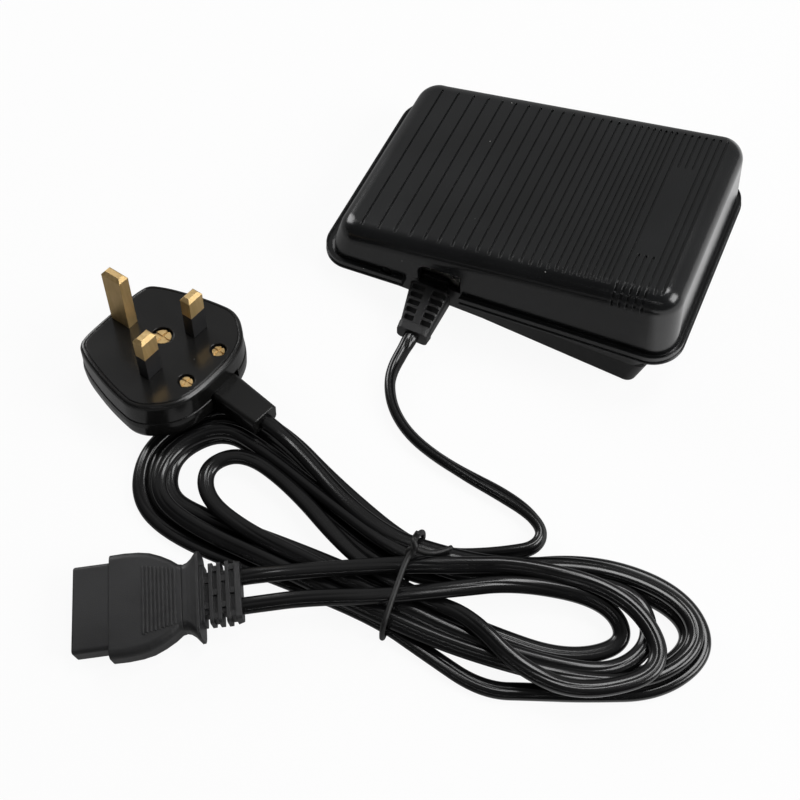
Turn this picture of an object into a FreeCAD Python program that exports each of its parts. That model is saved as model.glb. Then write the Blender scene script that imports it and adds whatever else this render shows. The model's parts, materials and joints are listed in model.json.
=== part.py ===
import FreeCAD, Part
import math
import os

from FreeCAD import Vector, Placement, Rotation

# Driving sizes in millimetres and degrees. +X runs from the heel to the toe, +Z is up.

# Top cover, in its own frame: lip bottom at z = 0, then tilted about Y
LIP_HALF_LENGTH = 67.4
LIP_HALF_WIDTH = 43.2
LIP_CORNER = 11.4
LIP_THICK = 3.2
LIP_BEAD_THICK = 0.7
LIP_BEAD_STEP = 0.4
SHELF_WIDTH = 2.0
WALL_CORNER = 8.6
COVER_WALL = 1.8
HEEL_DRAFT = 22.5
TOE_DRAFT = 2.4
SIDE_DRAFT = 2.7
TOP_HEIGHT = 23.7
TOP_SLOPE = 5.37
TOP_ROUND = 6.6
GUTTER_WIDTH = 0.8
GUTTER_DEPTH = 0.5
COVER_LIFT = 13.0
COVER_TILT = 6.1

# Grooves across the top
GROOVE_WIDTH = 0.9
GROOVE_DEPTH = 0.6
GROOVE_NEAR_LENGTH = 36.0
GROOVE_FAR_LENGTH = 34.5
GROOVE_COUNT = 25
GROOVE_START = -49.66
GROOVE_FIRST_STEP = 6.66
GROOVE_RATIO = 0.945
TOE_GROOVE_COUNT = 7
TOE_GROOVE_WRAPPED = 5
TOE_GROOVE_START = 43.2
TOE_GROOVE_STEP = 2.45
WRAP_HALF_LENGTH = 38.2
PLATE_FRONT = -21.7
PLATE_BACK = 18.3
PLATE_GROOVES = (1, 2, 3)

# Hinge
HINGE_X = -39.5
HINGE_Z = 3.05
PIN_RADIUS = 2.25
PIN_CLEARANCE = 0.08
PIN_RECESS = 1.0
BORE_REACH = 0.9
LUG_LENGTH = 6.0
LUG_WALL = 2.5
PRESS_ANGLE = 6.5

# Arch over the cord guard, in the cover's frame
ARCH_X0 = -26.5
ARCH_X1 = -10.3
ARCH_HEIGHT = 12.4
ARCH_ROUND = 4.0
WINDOW_X0 = -27.6
WINDOW_X1 = -11.8
NOTCH_X0 = -32.3
NOTCH_HEIGHT = 4.6

# Base tub
COVER_TUB_GAP = 1.5
TUB_HEEL_INSET = 7.4
TUB_TOE_INSET = 7.2
TUB_TOE_FOOT_INSET = 11.8
TUB_TOE_KNEE = 14.0
TUB_CORNER = 6.6
TUB_FOOT_CORNER = 5.0
TUB_WALL = 1.8
TUB_FLOOR = 2.0
TUB_EDGE_ROUND = 0.8
TUB_RIM_HEIGHT = 20.6
TUB_RIM_SLOPE = 0.045
TUB_RIBS_X = (-30.0, -19.0)
TUB_RIB_THICK = 1.4
TUB_RIB_HEIGHT = 1.5
TUB_RIB_INSET = 14.0
TUB_HEEL_RIM = 13.6
TUB_SKIRT_X = -5.0
TUB_SKIRT_TOP = 7.8
TUB_SKIRT_TOE_HALF = 40.95
TUB_SKIRT_CORNER = 4.0

# Rubber feet
FOOT_RADIUS = 5.0
FOOT_THICK = 1.5
FOOT_PROUD = 0.5
FOOT_INSET_X = 20.4
FOOT_INSET_Y = 14.2
FOOT_CLEARANCE = 0.1

# Cord guard at the pedal
GUARD_X = -22.4
GUARD_Z = 7.2
GUARD_WIDTH = 15.6
GUARD_HEIGHT = 9.2
GUARD_LENGTH = 19.8
GUARD_BODY_START = 2.2
GUARD_COLLAR = 3.0
GUARD_END_WIDTH = 11.6
GUARD_END_HEIGHT = 6.4
GUARD_COLLAR_WIDTH = 12.2
GUARD_COLLAR_HEIGHT = 6.9
GUARD_END_X = -21.5
GUARD_END_Z = 4.7
GUARD_NECK_WIDTH = 11.0
GUARD_NECK_HEIGHT = 7.6
GUARD_FLANGE = 1.6
GUARD_FLANGE_LIP = 0.8
GUARD_SLOTS = 5
GUARD_SLOT_PITCH = 2.8
GUARD_SLOT_FIRST = 4.1
GUARD_SLOT_WIDTH = 1.8
GUARD_SPINE = 2.8
GUARD_RIM = 0.9

# Mechanism
PLUNGER_X = 30.0
PLUNGER_SIDE = 8.0
PLUNGER_TOP = 32.0
PLUNGER_LENGTH = 20.0
PLUNGER_HEAD_RADIUS = 7.4
PLUNGER_HEAD_THICK = 1.6
GUIDE_CLEARANCE = 0.3
GUIDE_WALL = 3.0
GUIDE_TOP = 17.0
GUIDE_BASE_THICK = 2.0
GUIDE_BASE_LENGTH = 34.0
GUIDE_SLOT = 5.0
PUSHER_GAP = 0.3
PUSHER_SLOPE_GAP = 0.25
PUSHER_RADIUS = 5.5
SPRING_INSET = 23.4
SPRING_Y = 25.0
SPRING_RADIUS = 5.2
SPRING_WIRE = 1.2
SPRING_TURNS = 7
SPRING_SPIGOT = 3.6
SPRING_SEAT = 1.5
SPRING_CUP = 7.2
SPRING_CUP_WALL = 1.2
SPRING_CUP_SHIFT = 1.0
SPRING_TOP = 35.5
PLUNGER_SPRING_RADIUS = 6.6
PLUNGER_SPRING_WIRE = 0.6
PLUNGER_SPRING_TURNS = 4
WIPER_WIDTH = 3.0
WIPER_THICK = 0.4
WIPER_HEIGHT = 4.0

# Circuit board and what it carries
BOARD_X0 = -14.0
BOARD_X1 = 20.0
BOARD_HALF_WIDTH = 31.0
BOARD_THICK = 1.6
BOARD_LIFT = 2.6
POST_RADIUS = 2.6
POST_INSET_X = 4.0
POST_INSET_Y = 4.0
SCREW_RADIUS = 1.3
SCREW_HEAD_RADIUS = 2.4
SCREW_HEAD = 1.5
SCREW_LENGTH = 3.2
TRACK_THICK = 1.2
TRACK_HALF_WIDTH = 7.0
TRACK_TOP = 24.0

# Flat twin cord, drawn round in the solids
CORD_DIAMETER = 4.2
CORD_WIDTH = 5.4
FREE_CORD_RADIUS_SHARE = 0.45

# Hank: slots at the tie, layers and loops
TIE_X = 12.0
TIE_THICK = 1.8
SLOT_FIRST_Y = -130.2
SLOT_PITCH = 5.0
LAYER_PITCH = 4.85
LOOP_SPACING = 5.3
CORD_FLOOR_GAP = 0.15
TIE_LIFT = 2.1

# Machine connector
CONNECTOR_X = -28.6
CONNECTOR_Y = -166.6
CONNECTOR_Z = 8.0
CONNECTOR_YAW = 212.3
CONNECTOR_NOSE_DOWN = 3.0
CONNECTOR_THICK = 9.0
INSERT_WIDTH = 27.8
INSERT_THICK = 7.2
INSERT_RISE = 0.6
INSERT_LENGTH = 11.4
INSERT_ROOT = 6.0
INSERT_ROOT_WIDTH = 24.0
INSERT_ROOT_THICK = 5.4
CONNECTOR_FRONT = 40.2
FINGER_GUARD_HALF_WIDTH = 14.0
FINGER_GUARD_HEIGHT = 11.0
RELIEF_HALF_WIDTH = 9.6
RELIEF_HEIGHT = 6.6
RELIEF_CORE_HALF = 6.8
RELIEF_CORE_HEIGHT = 4.4
RELIEF_FIN_THICK = 1.2
RELIEF_COLLAR = 1.8
CONTACT_COUNT = 3
CONTACT_PITCH = 7.0
CONTACT_RADIUS = 1.5
CONTACT_BORE = 1.6
CONTACT_DEPTH = 9.0
GRIP_RIBS = 9
GRIP_RIB_PITCH = 1.22
GRIP_RIB_WIDTH = 0.6
GRIP_RIB_PROUD = 0.35
GRIP_FIRST_U = 19.6
GRIP_FIRST_REACH = 8.9
GRIP_REACH_STEP = 0.24

# Mains plug
PLUG_X = -86.6
PLUG_Y = -106.0
PLUG_FACE_Z = 21.0
PLUG_YAW = -9.7
PLUG_TILT_SIDE = -7.8
PLUG_TILT_AXIS = -2.4
PLUG_THICK = 17.4
PLUG_SPLIT = 8.6
PLUG_WALL = 2.2
PIN_SPACING_X = 22.2
PIN_SPACING_Y = 22.2
LIVE_PIN_LONG = 6.35
LIVE_PIN_SHORT = 4.0
LIVE_PIN_LENGTH = 17.7
EARTH_PIN_LONG = 8.0
EARTH_PIN_SHORT = 4.0
EARTH_PIN_LENGTH = 22.7
PIN_TIP = 1.3
PIN_ROOT = 7.0
PIN_SLEEVE_LENGTH = 9.5
PIN_SLEEVE_WALL = 0.45
PLUG_SLEEVE_PIVOT = 15.0
PLUG_SLEEVE_SIDE = 3.4
PLUG_SLEEVE_TURN = -5.0
PLUG_SLEEVE_GRIPPED = 2.6
PLUG_SLEEVE_LENGTH = 22.0
PLUG_SLEEVE_WIDTH = 12.5
PLUG_SLEEVE_HEIGHT = 8.0
PLUG_SLEEVE_END_WIDTH = 10.5
PLUG_SLEEVE_END_HEIGHT = 7.0
PLUG_SCREW_RADIUS = 2.1
PLUG_BIG_SCREW_RADIUS = 3.0
PLUG_SCREW_SINK = 0.6
FUSE_RADIUS = 3.15
FUSE_LENGTH = 20.0
FUSE_GAP = 0.4
FUSE_X = -17.0
FUSE_Y = 13.5


def tan_deg(angle):
    return math.tan(math.radians(angle))


def box(x0, x1, y0, y1, z0, z1):
    return Part.makeBox(x1 - x0, y1 - y0, z1 - z0, Vector(x0, y0, z0))


def cylinder(radius, start, end):
    axis = end - start
    return Part.makeCylinder(radius, axis.Length, start, axis)


def moved(shape, placement):
    return shape.transformed(placement.toMatrix(), copy=True)


def rounded_rectangle(u0, u1, v0, v1, radius, place):
    """A closed wire of four lines and four arcs; place turns (u, v) into a point."""
    corners = ((u1, v1, 0), (u0, v1, 90), (u0, v0, 180), (u1, v0, 270))
    arcs = []
    for u, v, start in corners:
        cu = u - radius if u == u1 else u + radius
        cv = v - radius if v == v1 else v + radius
        points = []
        for share in (0, 45, 90):
            turn = math.radians(start + share)
            points.append(place(cu + radius * math.cos(turn), cv + radius * math.sin(turn)))
        arcs.append(points)
    edges = []
    for index, points in enumerate(arcs):
        edges.append(Part.Arc(*points).toShape())
        following = arcs[(index + 1) % 4]
        edges.append(Part.LineSegment(points[2], following[0]).toShape())
    return Part.Wire(edges)


def flat(z):
    return lambda u, v: Vector(u, v, z)


def across(y):
    return lambda u, v: Vector(u, y, v)


def along(x):
    return lambda u, v: Vector(x, u, v)


def loft(*wires):
    return Part.makeLoft(list(wires), True, True)


def rounded_prism(u0, u1, v0, v1, radius, z0, z1):
    return loft(rounded_rectangle(u0, u1, v0, v1, radius, flat(z0)),
                rounded_rectangle(u0, u1, v0, v1, radius, flat(z1)))


def fuse_all(shapes):
    result = shapes[0].multiFuse(shapes[1:])
    return result.removeSplitter()


def edges_where(shape, test):
    found = []
    for edge in shape.Edges:
        points = [edge.valueAt(edge.FirstParameter + (edge.LastParameter - edge.FirstParameter) * share)
                  for share in (0.0, 0.3, 0.7, 1.0)]
        if all(test(point) for point in points):
            found.append(edge)
    return found


# Cover: frame and outline

COVER_PLACE = Placement(Vector(0, 0, COVER_LIFT), Rotation(Vector(0, 1, 0), -COVER_TILT))
WALL_HALF_LENGTH = LIP_HALF_LENGTH - SHELF_WIDTH
WALL_HALF_WIDTH = LIP_HALF_WIDTH - SHELF_WIDTH
COVER_TALL = 45.0
SPRING_X = LIP_HALF_LENGTH - SPRING_INSET


def top_z(x):
    return TOP_HEIGHT + x * tan_deg(TOP_SLOPE)


def cover_section(z, inset):
    return rounded_rectangle(-WALL_HALF_LENGTH + z * tan_deg(HEEL_DRAFT) + inset,
                             WALL_HALF_LENGTH - z * tan_deg(TOE_DRAFT) - inset,
                             -WALL_HALF_WIDTH + z * tan_deg(SIDE_DRAFT) + inset,
                             WALL_HALF_WIDTH - z * tan_deg(SIDE_DRAFT) - inset,
                             WALL_CORNER - inset, flat(z))


def under_top(inset):
    """Everything below the sloping top, sunk by inset."""
    reach = LIP_HALF_LENGTH * 2
    outline = [Vector(-reach, -reach, -5), Vector(reach, -reach, -5),
               Vector(reach, -reach, top_z(reach) - inset), Vector(-reach, -reach, top_z(-reach) - inset)]
    return Part.Face(Part.makePolygon(outline + outline[:1])).extrude(Vector(0, 2 * reach, 0))


def cover_block(inset):
    block = loft(cover_section(0, inset), cover_section(COVER_TALL, inset)).common(under_top(inset))
    rim = edges_where(block, lambda p: abs(p.z - top_z(p.x) + inset) < 0.01)
    return block.makeFillet(TOP_ROUND - inset * 0.8, rim)


def lip():
    bead = rounded_prism(-LIP_HALF_LENGTH, LIP_HALF_LENGTH, -LIP_HALF_WIDTH, LIP_HALF_WIDTH,
                         LIP_CORNER, 0, LIP_BEAD_THICK)
    step = LIP_BEAD_STEP
    shelf = rounded_prism(-LIP_HALF_LENGTH + step, LIP_HALF_LENGTH - step, -LIP_HALF_WIDTH + step,
                          LIP_HALF_WIDTH - step, LIP_CORNER - step, LIP_BEAD_THICK, LIP_THICK)
    return bead.fuse(shelf)


def gutter():
    deep = LIP_THICK - GUTTER_DEPTH
    reach = GUTTER_WIDTH
    outer = rounded_prism(-WALL_HALF_LENGTH - reach, WALL_HALF_LENGTH + reach, -WALL_HALF_WIDTH - reach,
                          WALL_HALF_WIDTH + reach, WALL_CORNER + reach, deep, LIP_THICK + 1)
    return outer.cut(loft(cover_section(0, 0), cover_section(COVER_TALL, 0)))


def arch_cut():
    outside = -LIP_HALF_WIDTH - 1
    inside = -WALL_HALF_WIDTH + COVER_WALL + 1.5
    tall = box(ARCH_X0, ARCH_X1, outside, inside, -1, ARCH_HEIGHT)
    corner = [edge for edge in tall.Edges
              if all(abs(v.X - ARCH_X0) < 0.01 and abs(v.Z - ARCH_HEIGHT) < 0.01 for v in edge.Vertexes)]
    tall = tall.makeFillet(ARCH_ROUND, corner)
    return tall.fuse(box(NOTCH_X0, ARCH_X0 + 1, outside, inside, -1, NOTCH_HEIGHT))


def groove(x, y0, y1):
    """A slot with round ends, sunk square to the top."""
    radius = GROOVE_WIDTH / 2
    deep = GROOVE_DEPTH
    bar = rounded_rectangle(-radius, radius, y0, y1, radius * 0.98, flat(-deep))
    slot = Part.Face(bar).extrude(Vector(0, 0, 3.0))
    place = Placement(Vector(x, 0, top_z(x)), Rotation(Vector(0, 1, 0), -TOP_SLOPE))
    return moved(slot, place)


def wrap_groove(x):
    """The groove's run down over the rounded near edge."""
    cut = []
    centre_z = top_z(x) - TOP_ROUND
    for side in (-1,):
        centre = Vector(x, side * (WALL_HALF_WIDTH - top_z(x) * tan_deg(SIDE_DRAFT) - TOP_ROUND), centre_z)
        outer = cylinder(TOP_ROUND + 2, centre - Vector(GROOVE_WIDTH / 2, 0, 0), centre + Vector(GROOVE_WIDTH / 2, 0, 0))
        inner = cylinder(TOP_ROUND - GROOVE_DEPTH, centre - Vector(GROOVE_WIDTH, 0, 0), centre + Vector(GROOVE_WIDTH, 0, 0))
        ring = outer.cut(inner)
        y0, y1 = sorted((centre.y, side * (WALL_HALF_WIDTH + 5)))
        corner = box(x - 2, x + 2, y0, y1, centre_z + 0.8, centre_z + TOP_ROUND + 3)
        cut.append(ring.common(corner))
    return cut


def grooves():
    cuts = []
    x = GROOVE_START
    step = GROOVE_FIRST_STEP
    for _ in range(GROOVE_COUNT):
        cuts.append(groove(x, -GROOVE_NEAR_LENGTH, GROOVE_FAR_LENGTH))
        x += step
        step *= GROOVE_RATIO
    for index in range(TOE_GROOVE_COUNT):
        x = TOE_GROOVE_START + index * TOE_GROOVE_STEP
        if index in PLATE_GROOVES:
            cuts.append(groove(x, -GROOVE_NEAR_LENGTH, PLATE_FRONT))
            cuts.append(groove(x, PLATE_BACK, GROOVE_FAR_LENGTH))
        else:
            cuts.append(groove(x, -GROOVE_NEAR_LENGTH, GROOVE_FAR_LENGTH))
        if index < TOE_GROOVE_WRAPPED:
            cuts.extend(wrap_groove(x))
    return cuts


def cover_to_world(x, z):
    return COVER_PLACE.multVec(Vector(x, 0, z))


def world_to_cover(x, z):
    return COVER_PLACE.inverse().multVec(Vector(x, 0, z))


def spring_cups(cavity):
    """Rings under the top that hold the return springs' upper ends."""
    cups = []
    for side in (-1, 1):
        foot = world_to_cover(SPRING_X - SPRING_CUP_SHIFT, SPRING_TOP)
        lower = Vector(foot.x, side * SPRING_Y, foot.z - 3.0)
        upper = Vector(foot.x, side * SPRING_Y, foot.z + 20)
        ring = cylinder(SPRING_CUP + SPRING_CUP_WALL, lower, upper).cut(cylinder(SPRING_CUP, lower, upper))
        seat = cylinder(SPRING_CUP + SPRING_CUP_WALL, Vector(foot.x, side * SPRING_Y, foot.z + 0.4), upper)
        cups.append(ring.fuse(seat).common(cavity))
    return cups


def pusher(cavity):
    """The boss under the top that presses the plunger."""
    foot = world_to_cover(PLUNGER_X, PLUNGER_TOP + PUSHER_GAP)
    boss = cylinder(PUSHER_RADIUS, Vector(foot.x, 0, foot.z + PUSHER_SLOPE_GAP), Vector(foot.x, 0, foot.z + 30))
    return boss.common(cavity)


def stiffening_ribs(cavity):
    ribs = []
    for x in (-22.0, 4.0):
        rib = box(x, x + 1.4, -WALL_HALF_WIDTH, WALL_HALF_WIDTH, top_z(x) - COVER_WALL - 3.2, COVER_TALL)
        ribs.append(rib.common(cavity))
    return ribs


def top_cover():
    outer = cover_block(0)
    cavity = cover_block(COVER_WALL)
    body = outer.fuse(lip())
    body = body.cut(gutter())
    body = body.cut(cavity)
    below = box(-WALL_HALF_LENGTH, WALL_HALF_LENGTH, -WALL_HALF_WIDTH, WALL_HALF_WIDTH, -5, 0.001)
    body = body.cut(below.common(loft(cover_section(-5, COVER_WALL), cover_section(1, COVER_WALL))))
    body = body.multiFuse(spring_cups(cavity) + [pusher(cavity)] + stiffening_ribs(cavity))
    reach = WALL_HALF_WIDTH + BORE_REACH
    bore = cylinder(PIN_RADIUS + PIN_CLEARANCE, Vector(HINGE_X, -reach, HINGE_Z), Vector(HINGE_X, reach, HINGE_Z))
    body = body.cut([bore, arch_cut()])
    body = body.cut(grooves())
    return moved(body.removeSplitter(), COVER_PLACE)


# Base tub

TUB_HALF_WIDTH = WALL_HALF_WIDTH - COVER_WALL - COVER_TUB_GAP
TUB_HEEL_X = -LIP_HALF_LENGTH + TUB_HEEL_INSET
TUB_TOE_X = LIP_HALF_LENGTH - TUB_TOE_INSET
TUB_TOE_FOOT_X = LIP_HALF_LENGTH - TUB_TOE_FOOT_INSET
FOOT_X = LIP_HALF_LENGTH - FOOT_INSET_X
FOOT_Y = LIP_HALF_WIDTH - FOOT_INSET_Y
TUB_BOTTOM = FOOT_PROUD
HINGE_WORLD = cover_to_world(HINGE_X, HINGE_Z)


def tub_block(inset, floor_z):
    knee = TUB_TOE_KNEE
    half = TUB_HALF_WIDTH - inset
    foot_x = TUB_TOE_FOOT_X + (floor_z - TUB_BOTTOM) * (TUB_TOE_X - TUB_TOE_FOOT_X) / (knee - TUB_BOTTOM)
    heel = TUB_HEEL_X + inset
    lower = loft(rounded_rectangle(heel, foot_x - inset, -half, half, TUB_FOOT_CORNER - inset * 0.8, flat(floor_z)),
                 rounded_rectangle(heel, TUB_TOE_X - inset, -half, half, TUB_CORNER - inset, flat(knee)))
    upper = rounded_prism(heel, TUB_TOE_X - inset, -half, half, TUB_CORNER - inset, knee, TUB_RIM_HEIGHT * 2)
    return lower.fuse(upper)


def rim_z(x):
    return TUB_RIM_HEIGHT + TUB_RIM_SLOPE * x


def above_rim():
    reach = LIP_HALF_LENGTH * 2
    tall = TUB_RIM_HEIGHT * 4
    outline = [Vector(-reach, -reach, rim_z(-reach)), Vector(reach, -reach, rim_z(reach)),
               Vector(reach, -reach, tall), Vector(-reach, -reach, tall)]
    return Part.Face(Part.makePolygon(outline + outline[:1])).extrude(Vector(0, 2 * reach, 0))


def hinge_lugs():
    lugs = []
    outer_radius = PIN_RADIUS + LUG_WALL
    for side in (-1, 1):
        y_out = side * (TUB_HALF_WIDTH - TUB_WALL / 2)
        y_in = side * (TUB_HALF_WIDTH - TUB_WALL - LUG_LENGTH)
        start = Vector(HINGE_WORLD.x, y_in, HINGE_WORLD.z)
        end = Vector(HINGE_WORLD.x, y_out, HINGE_WORLD.z)
        y0, y1 = sorted((y_in, y_out))
        web = box(HINGE_WORLD.x - 1.2, HINGE_WORLD.x + 1.2, y0, y1, TUB_BOTTOM + 1, HINGE_WORLD.z)
        lugs.extend([cylinder(outer_radius, start, end), web])
    return lugs


def board_post_points():
    points = []
    for x in (BOARD_X0 + POST_INSET_X, BOARD_X1 - POST_INSET_X):
        for side in (-1, 1):
            points.append((x, side * (BOARD_HALF_WIDTH - POST_INSET_Y)))
    return points


FLOOR_TOP = TUB_BOTTOM + TUB_FLOOR
BOARD_Z = FLOOR_TOP + BOARD_LIFT


def tub_posts():
    posts = []
    for x, y in board_post_points():
        posts.append(cylinder(POST_RADIUS, Vector(x, y, TUB_BOTTOM + 1), Vector(x, y, BOARD_Z)))
    for side in (-1, 1):
        centre = Vector(SPRING_X, side * SPRING_Y, TUB_BOTTOM + 1)
        posts.append(cylinder(SPRING_CUP, centre, centre + Vector(0, 0, TUB_FLOOR + SPRING_SEAT - 1)))
        posts.append(cylinder(SPRING_SPIGOT, centre, centre + Vector(0, 0, TUB_FLOOR + SPRING_SEAT + 4)))
    for x in TUB_RIBS_X:
        posts.append(box(x, x + TUB_RIB_THICK, -TUB_HALF_WIDTH + TUB_RIB_INSET, TUB_HALF_WIDTH - 1,
                         TUB_BOTTOM + 1, FLOOR_TOP + TUB_RIB_HEIGHT))
    return posts


def foot_points():
    return [(x * FOOT_X, y * FOOT_Y) for x in (-1, 1) for y in (-1, 1)]


def skirt_wire(toe_x, toe_half, z):
    """Outline of the tub's foot, wider towards the toe, with its two toe corners rounded."""
    heel_half = TUB_HALF_WIDTH - 0.1
    near = [Vector(TUB_SKIRT_X, -heel_half, z), Vector(toe_x, -toe_half, z)]
    far = [Vector(toe_x, toe_half, z), Vector(TUB_SKIRT_X, heel_half, z)]
    side = (near[1] - near[0]).normalize()
    across_toe = Vector(0, 1, 0)
    back = (far[1] - far[0]).normalize()
    reach = TUB_SKIRT_CORNER
    start, end = near[1] - side * reach, near[1] + across_toe * reach
    far_start, far_end = far[0] - across_toe * reach, far[0] + back * reach
    edges = [Part.LineSegment(near[0], start).toShape(), arc_through(start, side, end, across_toe),
             Part.LineSegment(end, far_start).toShape(), arc_through(far_start, across_toe, far_end, back),
             Part.LineSegment(far_end, far[1]).toShape(), Part.LineSegment(far[1], near[0]).toShape()]
    return Part.Wire(edges)


def tub_skirt():
    """The foot flares out towards the toe, below the reach of the pressed cover."""
    share = (TUB_SKIRT_TOP - TUB_BOTTOM) / (TUB_TOE_KNEE - TUB_BOTTOM)
    top_x = TUB_TOE_FOOT_X + share * (TUB_TOE_X - TUB_TOE_FOOT_X) - 0.1
    skirt = loft(skirt_wire(TUB_TOE_FOOT_X - 0.3, TUB_SKIRT_TOE_HALF, TUB_BOTTOM),
                 skirt_wire(top_x, TUB_HALF_WIDTH - 0.1, TUB_SKIRT_TOP))
    return skirt.makeFillet(TUB_EDGE_ROUND, edges_where(skirt, lambda p: abs(p.z - TUB_BOTTOM) < 0.01))


def base_tub():
    outer = tub_block(0, TUB_BOTTOM)
    edges = edges_where(outer, lambda p: abs(p.z - TUB_BOTTOM) < 0.01)
    outer = outer.makeFillet(TUB_EDGE_ROUND, edges).fuse(tub_skirt())
    body = outer.cut(tub_block(TUB_WALL, FLOOR_TOP))
    body = body.multiFuse(hinge_lugs() + tub_posts())
    reach = TUB_HALF_WIDTH + 5
    cuts = [above_rim()]
    cuts.append(box(TUB_HEEL_X - 1, TUB_HEEL_X + TUB_CORNER + 0.6, -reach, reach, TUB_HEEL_RIM, TUB_RIM_HEIGHT + 5))
    cuts.append(cylinder(PIN_RADIUS, Vector(HINGE_WORLD.x, -reach, HINGE_WORLD.z),
                         Vector(HINGE_WORLD.x, reach, HINGE_WORLD.z)))
    for x, y in foot_points():
        cuts.append(cylinder(FOOT_RADIUS + FOOT_CLEARANCE, Vector(x, y, -1), Vector(x, y, FOOT_THICK)))
    for x, y in board_post_points():
        cuts.append(cylinder(SCREW_RADIUS, Vector(x, y, BOARD_Z - SCREW_LENGTH + BOARD_THICK), Vector(x, y, BOARD_Z + 1)))
    half_w = GUARD_NECK_WIDTH / 2
    half_h = GUARD_NECK_HEIGHT / 2
    cuts.append(box(GUARD_X - half_w, GUARD_X + half_w, -reach, -TUB_HALF_WIDTH + TUB_WALL + 1,
                    GUARD_Z - half_h, GUARD_Z + half_h))
    cuts.append(box(WINDOW_X0, WINDOW_X1, -reach, -TUB_HALF_WIDTH + TUB_WALL + 1,
                    GUARD_Z + half_h - 0.1, TUB_RIM_HEIGHT + 5))
    return body.cut(cuts).removeSplitter()


def rubber_feet():
    feet = []
    for x, y in foot_points():
        pad = cylinder(FOOT_RADIUS, Vector(x, y, 0), Vector(x, y, FOOT_THICK))
        low = edges_where(pad, lambda p: abs(p.z) < 0.01)
        feet.append(pad.makeFillet(0.3, low))
    return Part.makeCompound(feet)


def hinge_pin():
    end = WALL_HALF_WIDTH - PIN_RECESS
    pin = cylinder(PIN_RADIUS, Vector(HINGE_WORLD.x, -end, HINGE_WORLD.z), Vector(HINGE_WORLD.x, end, HINGE_WORLD.z))
    return pin.makeChamfer(0.4, edges_where(pin, lambda p: abs(abs(p.y) - end) < 0.01))


# Cord guard

def section_across(x, z, width, height, y):
    return rounded_rectangle(x - width / 2, x + width / 2, z - height / 2, z + height / 2,
                             min(width, height) * 0.28, across(y))


GUARD_FACE_Y = -TUB_HALF_WIDTH
GUARD_TIP_Y = GUARD_FACE_Y - GUARD_LENGTH


def guard_at(share):
    """Centre, width and height of the tapering part, from its root (0) to the collar (1)."""
    x = GUARD_X + (GUARD_END_X - GUARD_X) * share
    z = GUARD_Z + (GUARD_END_Z - GUARD_Z) * share
    return (x, z, GUARD_WIDTH + (GUARD_END_WIDTH - GUARD_WIDTH) * share,
            GUARD_HEIGHT + (GUARD_END_HEIGHT - GUARD_HEIGHT) * share)


def strain_relief():
    taper_end = GUARD_TIP_Y + GUARD_COLLAR
    x0, z0, w0, h0 = guard_at(0)
    x1, z1, w1, h1 = guard_at(1)
    root = GUARD_FACE_Y - GUARD_BODY_START
    pieces = [loft(section_across(x0, z0, w0, h0, root), section_across(x1, z1, w1, h1, taper_end)),
              loft(section_across(x1, z1, GUARD_COLLAR_WIDTH, GUARD_COLLAR_HEIGHT, taper_end),
                   section_across(x1, z1, GUARD_COLLAR_WIDTH - 0.6, GUARD_COLLAR_HEIGHT - 0.6, GUARD_TIP_Y))]
    inside = GUARD_FACE_Y + TUB_WALL
    pieces.append(loft(section_across(x0, z0, GUARD_NECK_WIDTH - 0.2, GUARD_NECK_HEIGHT - 0.2, root - 0.5),
                       section_across(x0, z0, GUARD_NECK_WIDTH - 0.2, GUARD_NECK_HEIGHT - 0.2, inside)))
    flange_w = GUARD_NECK_WIDTH + 2 * GUARD_FLANGE_LIP
    flange_h = GUARD_NECK_HEIGHT + 2 * GUARD_FLANGE_LIP
    pieces.append(loft(section_across(x0, z0, flange_w, flange_h, inside),
                       section_across(x0, z0, flange_w, flange_h, inside + GUARD_FLANGE)))
    body = fuse_all(pieces)
    cuts = []
    for index in range(GUARD_SLOTS):
        y = GUARD_FACE_Y - GUARD_SLOT_FIRST - index * GUARD_SLOT_PITCH
        x, z, width, height = guard_at((root - y) / (root - taper_end))
        for side in (-1, 1):
            u0, u1 = sorted((x + side * GUARD_SPINE / 2, x + side * (width / 2 - GUARD_RIM)))
            cuts.append(box(u0, u1, y - GUARD_SLOT_WIDTH / 2, y + GUARD_SLOT_WIDTH / 2, z - height, z + height))
    return body.cut(cuts)


def cord_clamp():
    y0 = GUARD_FACE_Y + TUB_WALL + GUARD_FLANGE + 2.0
    bar = box(GUARD_X - 7.9, GUARD_X + 7.9, y0, y0 + 6, FLOOR_TOP + 4.4, FLOOR_TOP + 6.6)
    feet = [box(GUARD_X + side * 5.6 - 2.3, GUARD_X + side * 5.6 + 2.3, y0, y0 + 6, FLOOR_TOP, FLOOR_TOP + 4.4)
            for side in (-1, 1)]
    return fuse_all([bar] + feet)


def clamp_screws():
    y = GUARD_FACE_Y + TUB_WALL + GUARD_FLANGE + 5.0
    return Part.makeCompound([screw(GUARD_X + side * 5.4, y, FLOOR_TOP + 6.6, 0.0) for side in (-1, 1)])


def screw(x, y, z, shank):
    head = cylinder(SCREW_HEAD_RADIUS, Vector(x, y, z), Vector(x, y, z + SCREW_HEAD))
    head = head.makeFillet(0.5, edges_where(head, lambda p: abs(p.z - z - SCREW_HEAD) < 0.01))
    if shank > 0:
        head = head.fuse(cylinder(SCREW_RADIUS, Vector(x, y, z - shank), Vector(x, y, z)))
    slot = box(x - SCREW_HEAD_RADIUS, x + SCREW_HEAD_RADIUS, y - 0.3, y + 0.3, z + SCREW_HEAD - 0.6, z + SCREW_HEAD + 1)
    cross = box(x - 0.3, x + 0.3, y - SCREW_HEAD_RADIUS, y + SCREW_HEAD_RADIUS, z + SCREW_HEAD - 0.6, z + SCREW_HEAD + 1)
    return head.cut([slot, cross]).removeSplitter()


# Mechanism

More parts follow.
